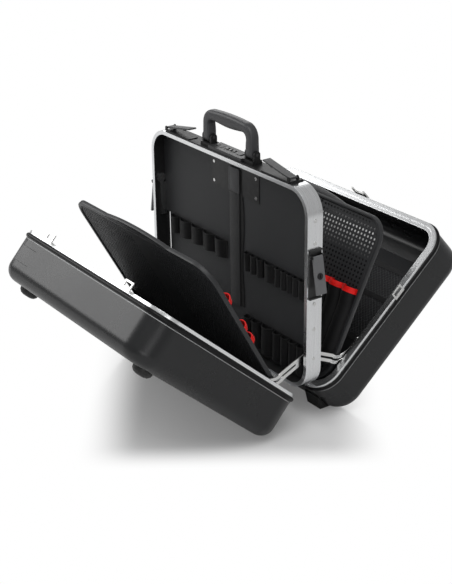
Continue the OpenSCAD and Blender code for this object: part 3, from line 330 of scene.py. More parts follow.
def swept(outline, section, place):
    """Loops of a section of (inwards, depth) points in mm, one at each point of an outline."""
    steps = [(i * MM, d * MM) for i, d in section]
    return [[place(x - nx * i, y - ny * i, d) for i, d in steps] for x, y, nx, ny in outline]


def bulge_line(w, s, steps=14):
    """Points of a cloth bulge of height s on a base of width w, from end to end."""
    ball = (w * w / 4 + s * s) / (2 * s)
    centre = s - ball
    half = math.atan2(w / 2, -centre)
    return [(ball * math.sin(a), centre + ball * math.cos(a))
            for a in (-half + 2 * half * i / steps for i in range(steps + 1))]


def bulge_length(w, s):
    """Length of the cloth over a bulge of height s on a base of width w."""
    ball = (w * w / 4 + s * s) / (2 * s)
    return 2 * ball * math.atan2(w / 2, ball - s)


def softened(part, width):
    """A copy of a solid part with its sharp edges rounded, which stands for the part."""
    name = part + "_rounded"
    merge_gap, flat_angle, edge_angle, smooth_angle = 0.02 * MM, 1.0, 35, 38
    bm = bmesh.new()
    bm.from_mesh(frame["nodes"][part].data)
    bmesh.ops.remove_doubles(bm, verts=bm.verts, dist=merge_gap)
    bmesh.ops.dissolve_limit(bm, angle_limit=math.radians(flat_angle), verts=bm.verts, edges=bm.edges)
    mesh = bpy.data.meshes.new(name)
    bm.to_mesh(mesh)
    bm.free()
    obj = bpy.data.objects.new(name, mesh)
    bpy.context.scene.collection.objects.link(obj)
    edge = obj.modifiers.new("Rounded edges", "BEVEL")
    edge.width = width
    edge.segments = 2
    edge.limit_method = "ANGLE"
    edge.angle_limit = math.radians(edge_angle)
    edge.use_clamp_overlap = True
    apply_modifiers(obj)
    obj.data.materials.clear()
    obj.data.materials.append(finish_of(part))
    sharpen(obj.data, smooth_angle)
    even = obj.modifiers.new("Flat faces", "WEIGHTED_NORMAL")
    even.keep_sharp = True
    apply_modifiers(obj)
    settle(obj, BODY_OF[part], SLOT_OF[part], [part])
    return obj


# Shader nodes

def node(tree, kind, values=None, **settings):
    """A shader node with its settings and the values of its inputs."""
    made = tree.nodes.new(kind)
    for name, value in settings.items():
        setattr(made, name, value)
    for key, value in (values or {}).items():
        made.inputs[key].default_value = value
    return made


def feed(tree, value, target):
    """Gives an input a plain value, or links a socket to it."""
    if isinstance(value, bpy.types.NodeSocket):
        tree.links.new(value, target)
    else:
        target.default_value = value


def maths(tree, operation, *values):
    """Result of one math node over numbers and sockets."""
    made = node(tree, "ShaderNodeMath", operation=operation)
    for value, target in zip(values, made.inputs):
        feed(tree, value, target)
    return made.outputs[0]


def scaled(tree, vector, factor):
    """A colour or a vector times a factor."""
    made = node(tree, "ShaderNodeVectorMath", operation="SCALE")
    tree.links.new(vector, made.inputs[0])
    tree.links.new(factor, made.inputs["Scale"])
    return made.outputs[0]


def mixed(tree, factor, first, second):
    """A mix of two shaders."""
    made = node(tree, "ShaderNodeMixShader")
    feed(tree, factor, made.inputs[0])
    tree.links.new(first, made.inputs[1])
    tree.links.new(second, made.inputs[2])
    return made.outputs[0]


def object_place(tree):
    """The place on the object."""
    return node(tree, "ShaderNodeTexCoord").outputs["Object"]


def parted(tree, vector):
    """The X, Y and Z of a vector."""
    made = node(tree, "ShaderNodeSeparateXYZ")
    tree.links.new(vector, made.inputs[0])
    return made.outputs


def ramped(tree, value, start, end, low=0.0, high=1.0, course="LINEAR"):
    """A value between start and end brought to low and high."""
    limits = {"From Min": start, "From Max": end, "To Min": low, "To Max": high}
    made = node(tree, "ShaderNodeMapRange", limits, interpolation_type=course)
    tree.links.new(value, made.inputs["Value"])
    return made.outputs["Result"]


def noise(tree, place, scale, detail, roughness=0.5):
    """Noise at a place."""
    made = node(tree, "ShaderNodeTexNoise", {"Detail": detail, "Roughness": roughness})
    tree.links.new(place, made.inputs["Vector"])
    feed(tree, scale, made.inputs["Scale"])
    return made.outputs["Fac"]


# Shader effects that more than one finish uses

MATERIAL = {}


def effect(name, ins, outs, wire):
    """A shader node group with named inputs and outputs."""
    group = bpy.data.node_groups.new(name, "ShaderNodeTree")
    for label, kind, value in ins:
        socket = group.interface.new_socket(label, in_out="INPUT", socket_type="NodeSocket" + kind)
        socket.default_value = value
    for label, kind in outs:
        group.interface.new_socket(label, in_out="OUTPUT", socket_type="NodeSocket" + kind)
    start = group.nodes.new("NodeGroupInput")
    end = group.nodes.new("NodeGroupOutput")
    wire(group, start.outputs, end.inputs)


def wire_mottle(g, ins, outs):
    """Cloudy lighter and darker patches of a colour."""
    clouds = noise(g, object_place(g), ins["Scale"], 5.0, 0.6)
    spread = maths(g, "MULTIPLY", maths(g, "SUBTRACT", clouds, 0.5), ins["Amount"])
    g.links.new(scaled(g, ins["Color"], maths(g, "ADD", spread, 1.0)), outs["Color"])
    g.links.new(clouds, outs["Value"])


def wire_grain(g, ins, outs):
    """Rounded pits of moulded plastic with a finer noise over them."""
    pit_share, noise_share = 0.7, 0.4
    place = object_place(g)
    cells = node(g, "ShaderNodeTexVoronoi", feature="SMOOTH_F1")
    g.links.new(place, cells.inputs["Vector"])
    g.links.new(ins["Scale"], cells.inputs["Scale"])
    pits = maths(g, "MULTIPLY", cells.outputs["Distance"], pit_share)
    fine = maths(g, "MULTIPLY", noise(g, place, ins["Scale"], 3.0), noise_share)
    g.links.new(maths(g, "ADD", pits, fine), outs["Height"])


def wire_streaks(g, ins, outs):
    """Brush marks: noise drawn out along the direction that has the smallest stretch value."""
    fine_share, broad_share, broad_scale = 0.6, 0.4, 0.12
    drawn = node(g, "ShaderNodeVectorMath", operation="MULTIPLY")
    g.links.new(object_place(g), drawn.inputs[0])
    g.links.new(ins["Stretch"], drawn.inputs[1])
    fine = noise(g, drawn.outputs[0], 1.0, 4.0, 0.7)
    broad = noise(g, drawn.outputs[0], broad_scale, 2.0)
    tone = maths(g, "ADD", maths(g, "MULTIPLY", fine, fine_share), maths(g, "MULTIPLY", broad, broad_share))
    g.links.new(fine, outs["Height"])
    g.links.new(tone, outs["Tone"])


def wire_weave(g, ins, outs):
    """Crossed threads with a rib along each row and some fuzz."""
    cross_share, rib_share, base, fuzz_share, fuzz_scale = 0.35, 0.3, 0.4, 0.2, 260.0
    place = object_place(g)
    split = parted(g, place)
    across, up = [maths(g, "SINE", maths(g, "MULTIPLY", split[axis], ins["Threads"])) for axis in "XZ"]
    crossed = maths(g, "MULTIPLY", maths(g, "MULTIPLY", across, up), cross_share)
    ribs = maths(g, "ADD", crossed, maths(g, "MULTIPLY", maths(g, "ABSOLUTE", up), rib_share))
    height = maths(g, "ADD", ribs, base)
    fuzz = maths(g, "MULTIPLY", noise(g, place, fuzz_scale, 2.0), fuzz_share)
    g.links.new(maths(g, "ADD", height, fuzz), outs["Height"])
    g.links.new(height, outs["Tone"])


def wire_wear(g, ins, outs):
    """Mask of broken wear along outward edges."""
    start, end, patch_scale = 0.52, 0.62, 90.0
    edges = ramped(g, node(g, "ShaderNodeNewGeometry").outputs["Pointiness"], start, end)
    broken = maths(g, "MULTIPLY", edges, noise(g, object_place(g), patch_scale, 5.0))
    g.links.new(maths(g, "MULTIPLY", broken, ins["Amount"]), outs["Mask"])


def wire_dust(g, ins, outs):
    """Mask of patchy dust on faces that look up."""
    patch_scale = 35.0
    up = maths(g, "MAXIMUM", parted(g, node(g, "ShaderNodeNewGeometry").outputs["Normal"])["Z"], 0.0)
    patchy = maths(g, "MULTIPLY", up, noise(g, object_place(g), patch_scale, 6.0))
    g.links.new(maths(g, "MULTIPLY", patchy, ins["Amount"]), outs["Mask"])


def build_effects():
    """Builds each effect once."""
    color = ("Color", "Color", (0.5, 0.5, 0.5, 1.0))
    effect("Mottled tone", [color, ("Scale", "Float", 20.0), ("Amount", "Float", 0.2)],
           [("Color", "Color"), ("Value", "Float")], wire_mottle)
    effect("Moulded grain", [("Scale", "Float", 900.0)], [("Height", "Float")], wire_grain)
    effect("Brushed streaks", [("Stretch", "Vector", (900.0, 900.0, 12.0))],
           [("Height", "Float"), ("Tone", "Float")], wire_streaks)
    effect("Woven cloth", [("Threads", "Float", 4200.0)],
           [("Height", "Float"), ("Tone", "Float")], wire_weave)
    effect("Worn edges", [("Amount", "Float", 0.5)], [("Mask", "Float")], wire_wear)
    effect("Settled dust", [("Amount", "Float", 0.1)], [("Mask", "Float")], wire_dust)


def grouped(tree, name, **values):
    """An effect placed in a material with its own values."""
    made = node(tree, "ShaderNodeGroup", node_tree=bpy.data.node_groups[name])
    for key, value in values.items():
        made.inputs[key].default_value = value
    return made.outputs


# Each kind of surface: its effect, the input for its size, and how its tone shades the colour
SURFACES = {"grain": ("Moulded grain", "Scale", None),
            "streaks": ("Brushed streaks", "Stretch", (0.35, 0.82)),
            "weave": ("Woven cloth", "Threads", (0.9, 0.6))}
WORN_TONE, DUST_TONE = (0.45, 0.45, 0.45, 1.0), (0.30, 0.29, 0.27, 1.0)
RELIEF_DEPTH = 0.6 * MM
SHEEN_ROUGHNESS = 0.4


def finish(name, colour, roughness, metallic=0.0, surface=("grain", 900.0), bump=0.15, mottle=(24.0, 0.25),
           spread=0.12, wear=0.0, dust=0.0, specular=0.4, sheen=0.0):
    """A material: a mottled colour with wear and dust, an uneven roughness and a raised surface."""
    mat = bpy.data.materials.new(name)
    mat.use_nodes = True
    tree = mat.node_tree
    shader = tree.nodes["Principled BSDF"].inputs
    for label, value in (("Metallic", metallic), ("Specular IOR Level", specular), ("Sheen Weight", sheen),
                         ("Sheen Roughness", SHEEN_ROUGHNESS)):
        shader[label].default_value = value
    tone = grouped(tree, "Mottled tone", Color=(*colour, 1.0), Scale=mottle[0], Amount=mottle[1])
    out, value = tone["Color"], tone["Value"]
    kind, size = surface
    group, size_input, shading = SURFACES[kind]
    relief = grouped(tree, group, **{size_input: size})
    if kind == "streaks":
        value = relief["Tone"]
    if shading:
        share, base = shading
        out = scaled(tree, out, maths(tree, "ADD", maths(tree, "MULTIPLY", relief["Tone"], share), base))
    for group, amount, target in (("Worn edges", wear, WORN_TONE), ("Settled dust", dust, DUST_TONE)):
        if amount:
            mix = node(tree, "ShaderNodeMix", data_type="RGBA")
            tree.links.new(grouped(tree, group, Amount=amount)["Mask"], mix.inputs["Factor"])
            tree.links.new(out, mix.inputs["A"])
            mix.inputs["B"].default_value = target
            out = mix.outputs["Result"]
    tree.links.new(out, shader["Base Color"])
    uneven = maths(tree, "MULTIPLY", maths(tree, "SUBTRACT", value, 0.5), spread)
    tree.links.new(maths(tree, "ADD", uneven, roughness), shader["Roughness"])
    lift = node(tree, "ShaderNodeBump", {"Strength": bump, "Distance": RELIEF_DEPTH})
    tree.links.new(relief["Height"], lift.inputs["Height"])
    tree.links.new(lift.outputs["Normal"], shader["Normal"])
    MATERIAL[name] = mat
    return mat


def lining_finish(name, low, high, start, end):
    """Painted light on the sheet behind a board's holes: a woven cloth whose tone goes from low to high
    between two heights, in mm, standing in for shade and glints.
    """
    mat = finish(name, (1.0, 1.0, 1.0), 0.6, surface=("weave", 4200.0), bump=0.2, mottle=(30.0, 0.25),
                 specular=0.2)
    tree = mat.node_tree
    colour = tree.nodes["Principled BSDF"].inputs["Base Color"]
    woven = colour.links[0].from_socket
    height = parted(tree, object_place(tree))["Z"]
    # Painted light: the tone is ramped by height instead of coming from the lamps.
    painted_light_tone = ramped(tree, height, FRAME_Z + start * MM, FRAME_Z + end * MM, low, high, "SMOOTHSTEP")
    tree.links.new(scaled(tree, woven, painted_light_tone), colour)


def finish_of(part):
    """Material of a solid part."""
    return MATERIAL[OWN_FINISH.get(part, SLOT_OF[part])]


# Settings a user would change

class CaseColours(bpy.types.PropertyGroup):
    """Colours of the case's main parts"""
    shell: bpy.props.FloatVectorProperty(
        name="Shell", description="Colour of the moulded half shells", subtype="COLOR", size=3,
        default=(0.013, 0.0135, 0.0145), min=0, max=1)
    aluminium: bpy.props.FloatVectorProperty(
        name="Aluminium", description="Colour of the band and the rims", subtype="COLOR", size=3,
        default=(0.86, 0.87, 0.88), min=0, max=1)
    panel: bpy.props.FloatVectorProperty(
        name="Panel", description="Colour of the tool panel", subtype="COLOR", size=3,
        default=(0.030, 0.031, 0.033), min=0, max=1)
    cloth: bpy.props.FloatVectorProperty(
        name="Cloth", description="Colour of loops, pockets and sleeves", subtype="COLOR", size=3,
        default=(0.006, 0.006, 0.0065), min=0, max=1)
    collar: bpy.props.FloatVectorProperty(
        name="Collars", description="Colour of the sleeves' collars", subtype="COLOR", size=3,
        default=(0.90, 0.006, 0.004), min=0, max=1)


class CaseDetail(bpy.types.PropertyGroup):
    """Sizes of the boards' holes and of the net"""
    left_pitch: bpy.props.FloatProperty(
        name="Left hole pitch", description="Distance between the left board's holes", unit="LENGTH",
        default=0.0072, min=0.005, max=0.02, precision=4)
    right_pitch: bpy.props.FloatProperty(
        name="Right hole pitch", description="Distance between the right board's holes", unit="LENGTH",
        default=0.0093, min=0.005, max=0.02, precision=4)
    hole_share: bpy.props.FloatProperty(
        name="Hole share", description="Diameter of a hole as a part of the pitch", subtype="FACTOR",
        default=0.58, min=0.2, max=0.7)
    net_pitch: bpy.props.FloatProperty(
        name="Net pitch", description="Distance between the net's strands", unit="LENGTH",
        default=0.0085, min=0.005, max=0.02, precision=4)


class CaseStage(bpy.types.PropertyGroup):
    """Floor and lamps"""
    floor_mirror: bpy.props.FloatProperty(
        name="Floor gloss", description="How much the floor mirrors the case", subtype="FACTOR",
        default=0.15, min=0, max=1)
    key_light: bpy.props.FloatProperty(
        name="Key light", description="Power of the large soft light", default=30.0, min=0, max=500)


def plastic_finishes(shell, panel):
    """Shells, feet, boards, handle, lock and latches."""
    finish("shell_plastic", shell, 0.28, surface=("grain", 1500.0), bump=0.10, mottle=(9.0, 0.25), dust=0.005,
           specular=0.42)
    # Pale grey of the line below the bead: a painted highlight on the dark shell's small step.
    finish("shell_line_painted_highlight", (0.45, 0.455, 0.46), 0.25, surface=("grain", 1200.0), bump=0.05)
    finish("bead_rubber", (0.007, 0.007, 0.0075), 0.34, surface=("grain", 700.0), bump=0.05, specular=0.18)
    finish("foot_rubber", (0.014, 0.014, 0.014), 0.50, surface=("grain", 1100.0), bump=0.20, dust=0.04)
    finish("black_plastic", (0.008, 0.008, 0.0085), 0.45, surface=("grain", 1300.0), bump=0.12, wear=0.04,
           specular=0.28)
    finish("tool_panel", panel, 0.55, surface=("grain", 1800.0), bump=0.30, mottle=(60.0, 0.35))
    finish("board_plastic", (0.030, 0.031, 0.033), 0.40, surface=("grain", 1700.0), bump=0.14, wear=0.05)
    finish("board_field", (0.030, 0.031, 0.033), 0.50, surface=("grain", 1700.0), bump=0.14)
    finish("pocket_back", (0.035, 0.036, 0.038), 0.42, surface=("grain", 1200.0), bump=0.12)
    finish("handle_plastic", (0.050, 0.051, 0.054), 0.40, surface=("grain", 1600.0), bump=0.18, wear=0.05)
    finish("lock_plastic", (0.028, 0.029, 0.031), 0.42, surface=("grain", 1400.0), bump=0.10, wear=0.08)
    finish("dial_plastic", (0.010, 0.010, 0.010), 0.25, surface=("grain", 900.0), bump=0.03)
    finish("dial_ink", (0.80, 0.80, 0.78), 0.5, surface=("grain", 900.0), bump=0.03)
    finish("dark_plate", (0.006, 0.006, 0.0065), 0.42, surface=("grain", 1500.0), bump=0.10, wear=0.10)
    finish("latch_metal", (0.034, 0.035, 0.037), 0.38, surface=("grain", 1600.0), bump=0.10, wear=0.14)
    finish("lever_metal", (0.16, 0.162, 0.168), 0.34, surface=("grain", 1600.0), bump=0.08, wear=0.10)


def metal_finishes(alu):
    """Band and rims, pins and loops, stays and hinges."""
    finish("band_aluminium", alu, 0.27, 1.0, ("streaks", (9.0, 1500.0, 9.0)), 0.05, (6.0, 0.10), 0.18)
    finish("rim_aluminium", alu, 0.26, 1.0, ("streaks", (9.0, 40.0, 40.0)), 0.01, (6.0, 0.06), 0.08)
    finish("bright_steel", (0.72, 0.72, 0.71), 0.22, 1.0, ("streaks", (500.0, 500.0, 40.0)), 0.04,
           spread=0.10)
    finish("stay_steel", (0.80, 0.80, 0.79), 0.24, 1.0, ("streaks", (600.0, 30.0, 600.0)), 0.06, spread=0.14)
    finish("hinge_steel", (0.42, 0.42, 0.42), 0.32, 1.0, ("streaks", (40.0, 600.0, 600.0)), 0.05, wear=0.1)
    finish("dark_steel", (0.05, 0.05, 0.052), 0.30, 1.0, ("streaks", (500.0, 500.0, 40.0)), 0.04, wear=0.1)


def cloth_finishes(cloth, collar):
    """Loops, pockets, sleeves and collars, strap, net, and the boards' sheets behind the holes with painted
    light.
    """
    finish("loop_cloth", cloth, 0.50, surface=("weave", 5200.0), bump=0.5, sheen=0.04, specular=0.25)
    finish("collar_cloth", collar, 0.55, surface=("weave", 4200.0), bump=0.4, sheen=0.12)
    finish("stitching", (0.05, 0.05, 0.052), 0.6, surface=("weave", 6000.0), bump=0.3, sheen=0.2)
    finish("strap_webbing", (0.016, 0.0165, 0.0175), 0.60, surface=("weave", 3600.0), bump=0.5, sheen=0.15)
    finish("strap_head", (0.085, 0.086, 0.09), 0.55, surface=("grain", 900.0), bump=0.3)
    finish("net_cloth", (0.10, 0.10, 0.105), 0.50, surface=("weave", 5200.0), bump=0.4, sheen=0.10)
    finish("pocket_band", (0.014, 0.014, 0.015), 0.55, surface=("weave", 5200.0), bump=0.4, sheen=0.10)
    # Painted light: pale low down, where the left board lies in shade, and dark higher up.
    lining_finish("left_painted_light_lining", 0.95, 0.16, 60, 230)
    # Painted glints: dark low down and pale at the top, where the right board's holes catch light.
    lining_finish("right_painted_light_lining", 0.003, 0.75, 205, 262)


# Operators, one for each piece or group of like pieces

class TOOLCASE_OT_finishes(bpy.types.Operator):
    """Build the finishes and put them on the rigid parts of the case"""
    bl_idname = "toolcase.finishes"
    bl_label = "Finishes"

    def execute(self, context):
        colours = context.scene.case_colours
        build_effects()
        plastic_finishes(tuple(colours.shell), tuple(colours.panel))
        metal_finishes(tuple(colours.aluminium))
        cloth_finishes(tuple(colours.cloth), tuple(colours.collar))
        for name, obj in frame["nodes"].items():
            if not obj.material_slots:
                obj.data.materials.append(finish_of(name))
            for slot in obj.material_slots:
                slot.material = finish_of(name)
        return {"FINISHED"}


class TOOLCASE_OT_rounded_parts(bpy.types.Operator):
    """Round the sharp edges of moulded, cast and stamped parts"""
    bl_idname = "toolcase.rounded_parts"
    bl_label = "Rounded parts"

    def execute(self, context):
        for part, width in EDGE_WIDTHS.items():
            softened(part, width * MM)
        return {"FINISHED"}


class TOOLCASE_OT_handle(bpy.types.Operator):
    """Make the carrying handle with its rounded grip and ribbed underside"""
    bl_idname = "toolcase.handle"
    bl_label = "Handle"

    def execute(self, context):
        low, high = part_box("handle")
        piece("handle_grip", self.grip(low, high), "handle_plastic", "carry_handle", "handle_plastic",
              ["handle"], 55)
        piece("handle_ribs", self.ribs(high), "handle_plastic", "carry_handle", "handle_plastic")
        return {"FINISHED"}

    def belly(self, high, x):
        """Height of the grip's underside, which hangs lowest in the middle."""
        share = math.cos(math.pi * x / 2 / (high.x - LEG_W - INNER_R))
        return high.z - GRIP_H - GRIP_BELLY * max(0.0, share) ** 1.5

    def crown(self, high, x):
        """Height of the grip's top."""
        return high.z - GRIP_CROWN * (x / high.x) ** 2

    def half_stations(self, low, high):
        """Sections from one foot to the middle: outer point, inner point, half depth and roundness."""
        half, deep = high.x, high.y
        pivot, under = low.z + deep, high.z - GRIP_H
        stations = []
        foot_steps, foot_start = 5, 0.15
        for i in range(foot_steps + 1):
            z = low.z + deep * (i + foot_start) / (foot_steps + foot_start)
            width = math.sqrt(max(0.0, deep ** 2 - (pivot - z) ** 2))
            stations.append(((-half, z), (LEG_W - half, z), width, LEG_ROUND))
        outer_z = self.crown(high, half - OUTER_R) - OUTER_R
        inner_z = under - INNER_R
        leg_steps = 7
        for i in range(1, leg_steps):
            t = i / leg_steps
            swell = 1.0 * MM * math.sin(math.pi * t)
            stations.append(((-half, pivot + (outer_z - pivot) * t),
                             (LEG_W - half + swell, pivot + (inner_z - pivot) * t),
                             deep, LEG_ROUND + (CORNER_ROUND - LEG_ROUND) * t))
        corner_steps = 10
        for i in range(corner_steps + 1):
            a = math.radians(180 - 90 / corner_steps * i)
            c, s = math.cos(a), math.sin(a)
            stations.append(((OUTER_R - half + OUTER_R * c, outer_z + OUTER_R * s),
                             (LEG_W - half + INNER_R + INNER_R * c, inner_z + INNER_R * s),
                             deep, CORNER_ROUND + (GRIP_ROUND - CORNER_ROUND) * i / corner_steps))
        grip_steps = 10
        for i in range(1, grip_steps + 1):
            rest = 1 - i / grip_steps
            outer_x, inner_x = -(half - OUTER_R) * rest, -(half - LEG_W - INNER_R) * rest
            stations.append(((outer_x, self.crown(high, outer_x)), (inner_x, self.belly(high, inner_x)),
                             deep, GRIP_ROUND))
        return stations

    def grip(self, low, high):
        """The handle from foot to foot, skinned over superellipse sections."""
        stations = self.half_stations(low, high)
        mirrored = [((-outer[0], outer[1]), (-inner[0], inner[1]), width, power)
                    for outer, inner, width, power in reversed(stations[:-1])]
        sides = 24
        loops = []
        for (ox, oz), (nx, nz), width, power in stations + mirrored:
            loop = []
            for k in range(sides):
                a = 2 * math.pi * k / sides
                u = math.copysign(abs(math.cos(a)) ** power, math.cos(a))
                v = math.copysign(abs(math.sin(a)) ** power, math.sin(a))
                x, z = (ox + nx) / 2 + (ox - nx) / 2 * u, (oz + nz) / 2 + (oz - nz) / 2 * u
                loop.append(Vector((x, width * v, z)))
            loops.append(loop)
        grip = Shape()
        grip.rings(loops)
        return grip

    def ribs(self, high):
        """Low ribs across the grip's underside, which rise with its rounded edges."""
        section = [(-1.4, 0.8), (-0.8, -0.8), (0.8, -0.8), (1.4, 0.8)]
        end_gap, edge_lift, edge_power, steps = 1.8 * MM, 6.0 * MM, 3.2, 8
        deep = high.y
        ribs = Shape()
        for i in range(RIB_COUNT):
            x = (i - (RIB_COUNT - 1) / 2) * RIB_PITCH
            loops = []
            for k in range(steps + 1):
                y = (2 * k / steps - 1) * (deep - end_gap)
                z = self.belly(high, x) + edge_lift * (abs(y) / deep) ** edge_power
                loops.append([Vector((x + a * MM, y, z + b * MM)) for a, b in section])
            ribs.rings(loops)
        return ribs


def slot_low(side):
    """Height of the finger slot's lower edge up a board."""
    return BOARD_H[side] - SLOT_H + BOW_H / 4


def hole_places(side, pitch, radius):
    """Middles of a board's holes: none near its border, its finger slot or its smooth middle."""
    right, top, corner = BOARD_W / 2 - PLATE_INSET, BOARD_H[side] - PLATE_INSET, BOARD_R - PLATE_INSET
    bottom = BOARD_FOOT + PLATE_INSET
    margin = HOLE_MARGIN + radius
    count = int(BOARD_W / pitch / 2) + 1
    places = []
    v, row = top - margin, 0
    while v > bottom + margin:
        shift = pitch / 2 if side == LEFT and row % 2 else 0.0
        for i in range(-count, count + 1):
            x = i * pitch + shift
            cx = max(0.0, abs(x) - (right - corner))
            cy = max(0.0, v - (top - corner), (bottom + corner) - v)
            cornered = cx and cy and math.hypot(cx, cy) > corner - margin
            slotted = abs(x) < SLOT_W / 2 + SLOT_SIDE_CLEAR and v > BOARD_H[side] - SLOT_H - SLOT_LOW_CLEAR
            if SMOOTH_HALF < abs(x) <= right - margin and not cornered and not slotted:
                places.append((x, v))
        v -= pitch * ROW_SHARE[side]
        row += 1
    return places


def plate_outline(side):
    """Outline of a board's plate, which runs down into the finger slot at its top."""
    height = BOARD_H[side]
    outline = [(x, y) for x, y, _, _ in rounded_outline(
        BOARD_W - 2 * PLATE_INSET, height - BOARD_FOOT - 2 * PLATE_INSET, BOARD_R - PLATE_INSET, 8,
        BOARD_FOOT + PLATE_INSET)]
    slot = []
    for cx, first in ((SLOT_W / 2 - SLOT_R, 360), (SLOT_R - SLOT_W / 2, 270)):
        for k in range(7):
            a = math.radians(first - 15 * k)
            slot.append((cx + SLOT_R * math.cos(a), slot_low(side) + SLOT_R + SLOT_R * math.sin(a)))
    ends = [(x, height - PLATE_INSET) for x in (SLOT_W / 2, -SLOT_W / 2)]
    spot = next(i for i, (p, q) in enumerate(zip(outline, outline[1:]))
                if p[0] > 0 > q[0] and p[1] > height / 2)
    return outline[:spot + 1] + [ends[0]] + slot + [ends[1]] + outline[spot + 1:]


def perforated_sheet(side, pitch, share):
    """A plate with holes and a finger slot, with the holes' rims as edges of one flat triangulation."""
    radius, sides = pitch * share / 2, HOLE_SIDES[side]
    points = plate_outline(side)
    n = len(points)
    edges = [(i, (i + 1) % n) for i in range(n)]
    owner = {}
    for x, v in hole_places(side, pitch, radius):
        start = len(points)
        for k in range(sides):
            a = 2 * math.pi * (k + 0.5) / sides
            owner[len(points)] = start
            points.append((x + radius * math.cos(a), v + radius * math.sin(a)))
        edges += [(start + k, start + (k + 1) % sides) for k in range(sides)]
    result = delaunay_2d_cdt([Vector(p) for p in points], edges, [tuple(range(n))], 1, 1e-7, True)
    flat, faces, origins = result[0], result[2], result[3]
    source = [ids[0] if ids else -1 for ids in origins]
    kept = []
    for face in faces:
        owners = {owner.get(source[i], -1) for i in face}
        if len(owners) > 1 or -1 in owners:
            kept.append(tuple(face))
    count = len(flat)
    verts = [board_point(side, p.x, p.y, w) for w in (PLATE_T / 2, -PLATE_T / 2) for p in flat]
    sides_used = {(face[k], face[(k + 1) % len(face)]) for face in kept for k in range(len(face))}
    walls = [(b, a, a + count, b + count) for a, b in sides_used if (b, a) not in sides_used]
    sheet = Shape()
    sheet.add(verts, kept + [tuple(i + count for i in reversed(face)) for face in kept] + walls)
    return sheet


def bow_bar(shape, side):
    """The grip bow over the finger slot, as a rounded bar that runs out into the border."""
    height, steps, bar_h, top_r = BOARD_H[side], 36, 6 * MM, 2.0 * MM
    front, back = -5.5, 2.5
    loops = []
    for i in range(steps + 1):
        x = BOW_W * (i / steps - 0.5)
        rise = math.sqrt(BOW_R ** 2 - x * x) - (BOW_R - BOW_H) if abs(x) < BOW_W / 2 else 0.0
        top, low = height + rise + 0.02 * MM, height - bar_h
        soft = min(top_r, (top - low) * 0.4)
        up = [(low, 0.5), (low + soft * 0.5, 0.0), (top - soft, 0.0), (top - soft * 0.3, 0.5), (top, 1.9)]
        loop = [(u, front + w) for u, w in up] + [(u, back - w) for u, w in reversed(up)]
        loops.append([board_point(side, x, u, w * MM) for u, w in loop])
    shape.rings(loops)


def board_border(side):
    """The raised border of a tool board with its grip bow, the rim of its slot and its knuckles."""
    border, place = Shape(), on_board(side)
    outline = rounded_outline(BOARD_W, BOARD_H[side] - BOARD_FOOT, BOARD_R, 12, BOARD_FOOT)
    border.rings(swept(outline, BORDER_SECTION, place), closed_path=True)
    bow_bar(border, side)
    slot = rounded_outline(SLOT_W, 3 * SLOT_H, SLOT_R, 6, slot_low(side))
    border.rings(swept([q for q in slot if q[1] < BOARD_H[side] - PLATE_INSET], SLOT_RIM_SECTION, place))
    for end in (NEAR, FAR):
        left, right = end * KNUCKLE_X - KNUCKLE_HALF, end * KNUCKLE_X + KNUCKLE_HALF
        border.rod(place(left, 0, 0), place(right, 0, 0), KNUCKLE_R, 24)
        border.box(place, (left, LEAF_LOW, -LEAF_HALF), (right, LEAF_HIGH, LEAF_HALF))
    return border


def board_lining(side):
    """The thin sheet behind a board's holes, which carries painted light."""
    outline = rounded_outline(
        BOARD_W - 2 * PAINTED_LINING_INSET, BOARD_H[side] - BOARD_FOOT - SLOT_H - 2 * PAINTED_LINING_INSET,
        BOARD_R - PAINTED_LINING_INSET, 8, BOARD_FOOT + PAINTED_LINING_INSET)
    depths = [(0.0, side * PAINTED_LINING_OFF), (0.0, side * (PAINTED_LINING_OFF + PAINTED_LINING_T))]
    painted_sheet = Shape()
    painted_sheet.rings(inset_loops(outline, depths, on_board(side)))
    return painted_sheet


class TOOLCASE_OT_boards(bpy.types.Operator):
    """Make both tool boards: a finely perforated plate in a raised border"""
    bl_idname = "toolcase.boards"
    bl_label = "Tool boards"

    def execute(self, context):
        detail = context.scene.case_detail
        for side, pitch in ((LEFT, detail.left_pitch), (RIGHT, detail.right_pitch)):
            name = SIDE_NAME[side]
            body = name + "_tool_board"
            piece(name + "_board_border", board_border(side), "board_plastic", body, "board_plastic",
                  [name + "_board"], 30)
            sheet = perforated_sheet(side, pitch, detail.hole_share)
            piece(name + "_board_field", sheet, "board_field", body, "board_plastic", angle=50)
            # The sheet behind the holes carries painted light.
            piece(name + "_board_painted_light_lining", board_lining(side), name + "_painted_light_lining", body, "board_plastic",
                  angle=50)
        return {"FINISHED"}


def cloth_tube(shape, place, x, w, s, low, high, thick, rng, rows=8, flare=0.0):
    """A bulged strip of cloth of the given thickness, open above and below, with slight unevenness."""
    full, swell, uneven, drift, flare_start = 0.94, 0.05, 0.02, 0.4 * MM, 0.8
    loops = []
    sway = [rng.uniform(-0.5, 0.5) for _ in range(3)]
    for r in range(rows + 1):
        t = r / rows
        z = low + (high - low) * t
        spread = 1 + flare * max(0.0, t - flare_start) / (1 - flare_start)
        fullness = s * (full + swell * math.sin(3 * t + sway[0] * 6) + uneven * sway[1]) * spread
        shift = drift * sway[2] * math.sin(math.pi * t)
        line = bulge_line(w, fullness) + bulge_line(w - 2 * thick, fullness - thick)[::-1]
        loops.append([place(x + a + shift, -b, z) for a, b in line])
    shape.rings(loops)


def hem(shape, place, x, w, s, z, thick, height):
    """A folded hem round a bulge's edge."""
    loops = []
    for a, b in bulge_line(w, s):
        length = math.hypot(a, b) or 1.0
        out_x, out_y = a / length * thick * 0.5, b / length * thick * 0.5
        loops.append([place(x + a, -b, z), place(x + a + out_x, -(b + out_y), z + height * 0.2),
                      place(x + a + out_x, -(b + out_y), z + height * 0.8), place(x + a, -b, z + height)])
    shape.rings(loops)


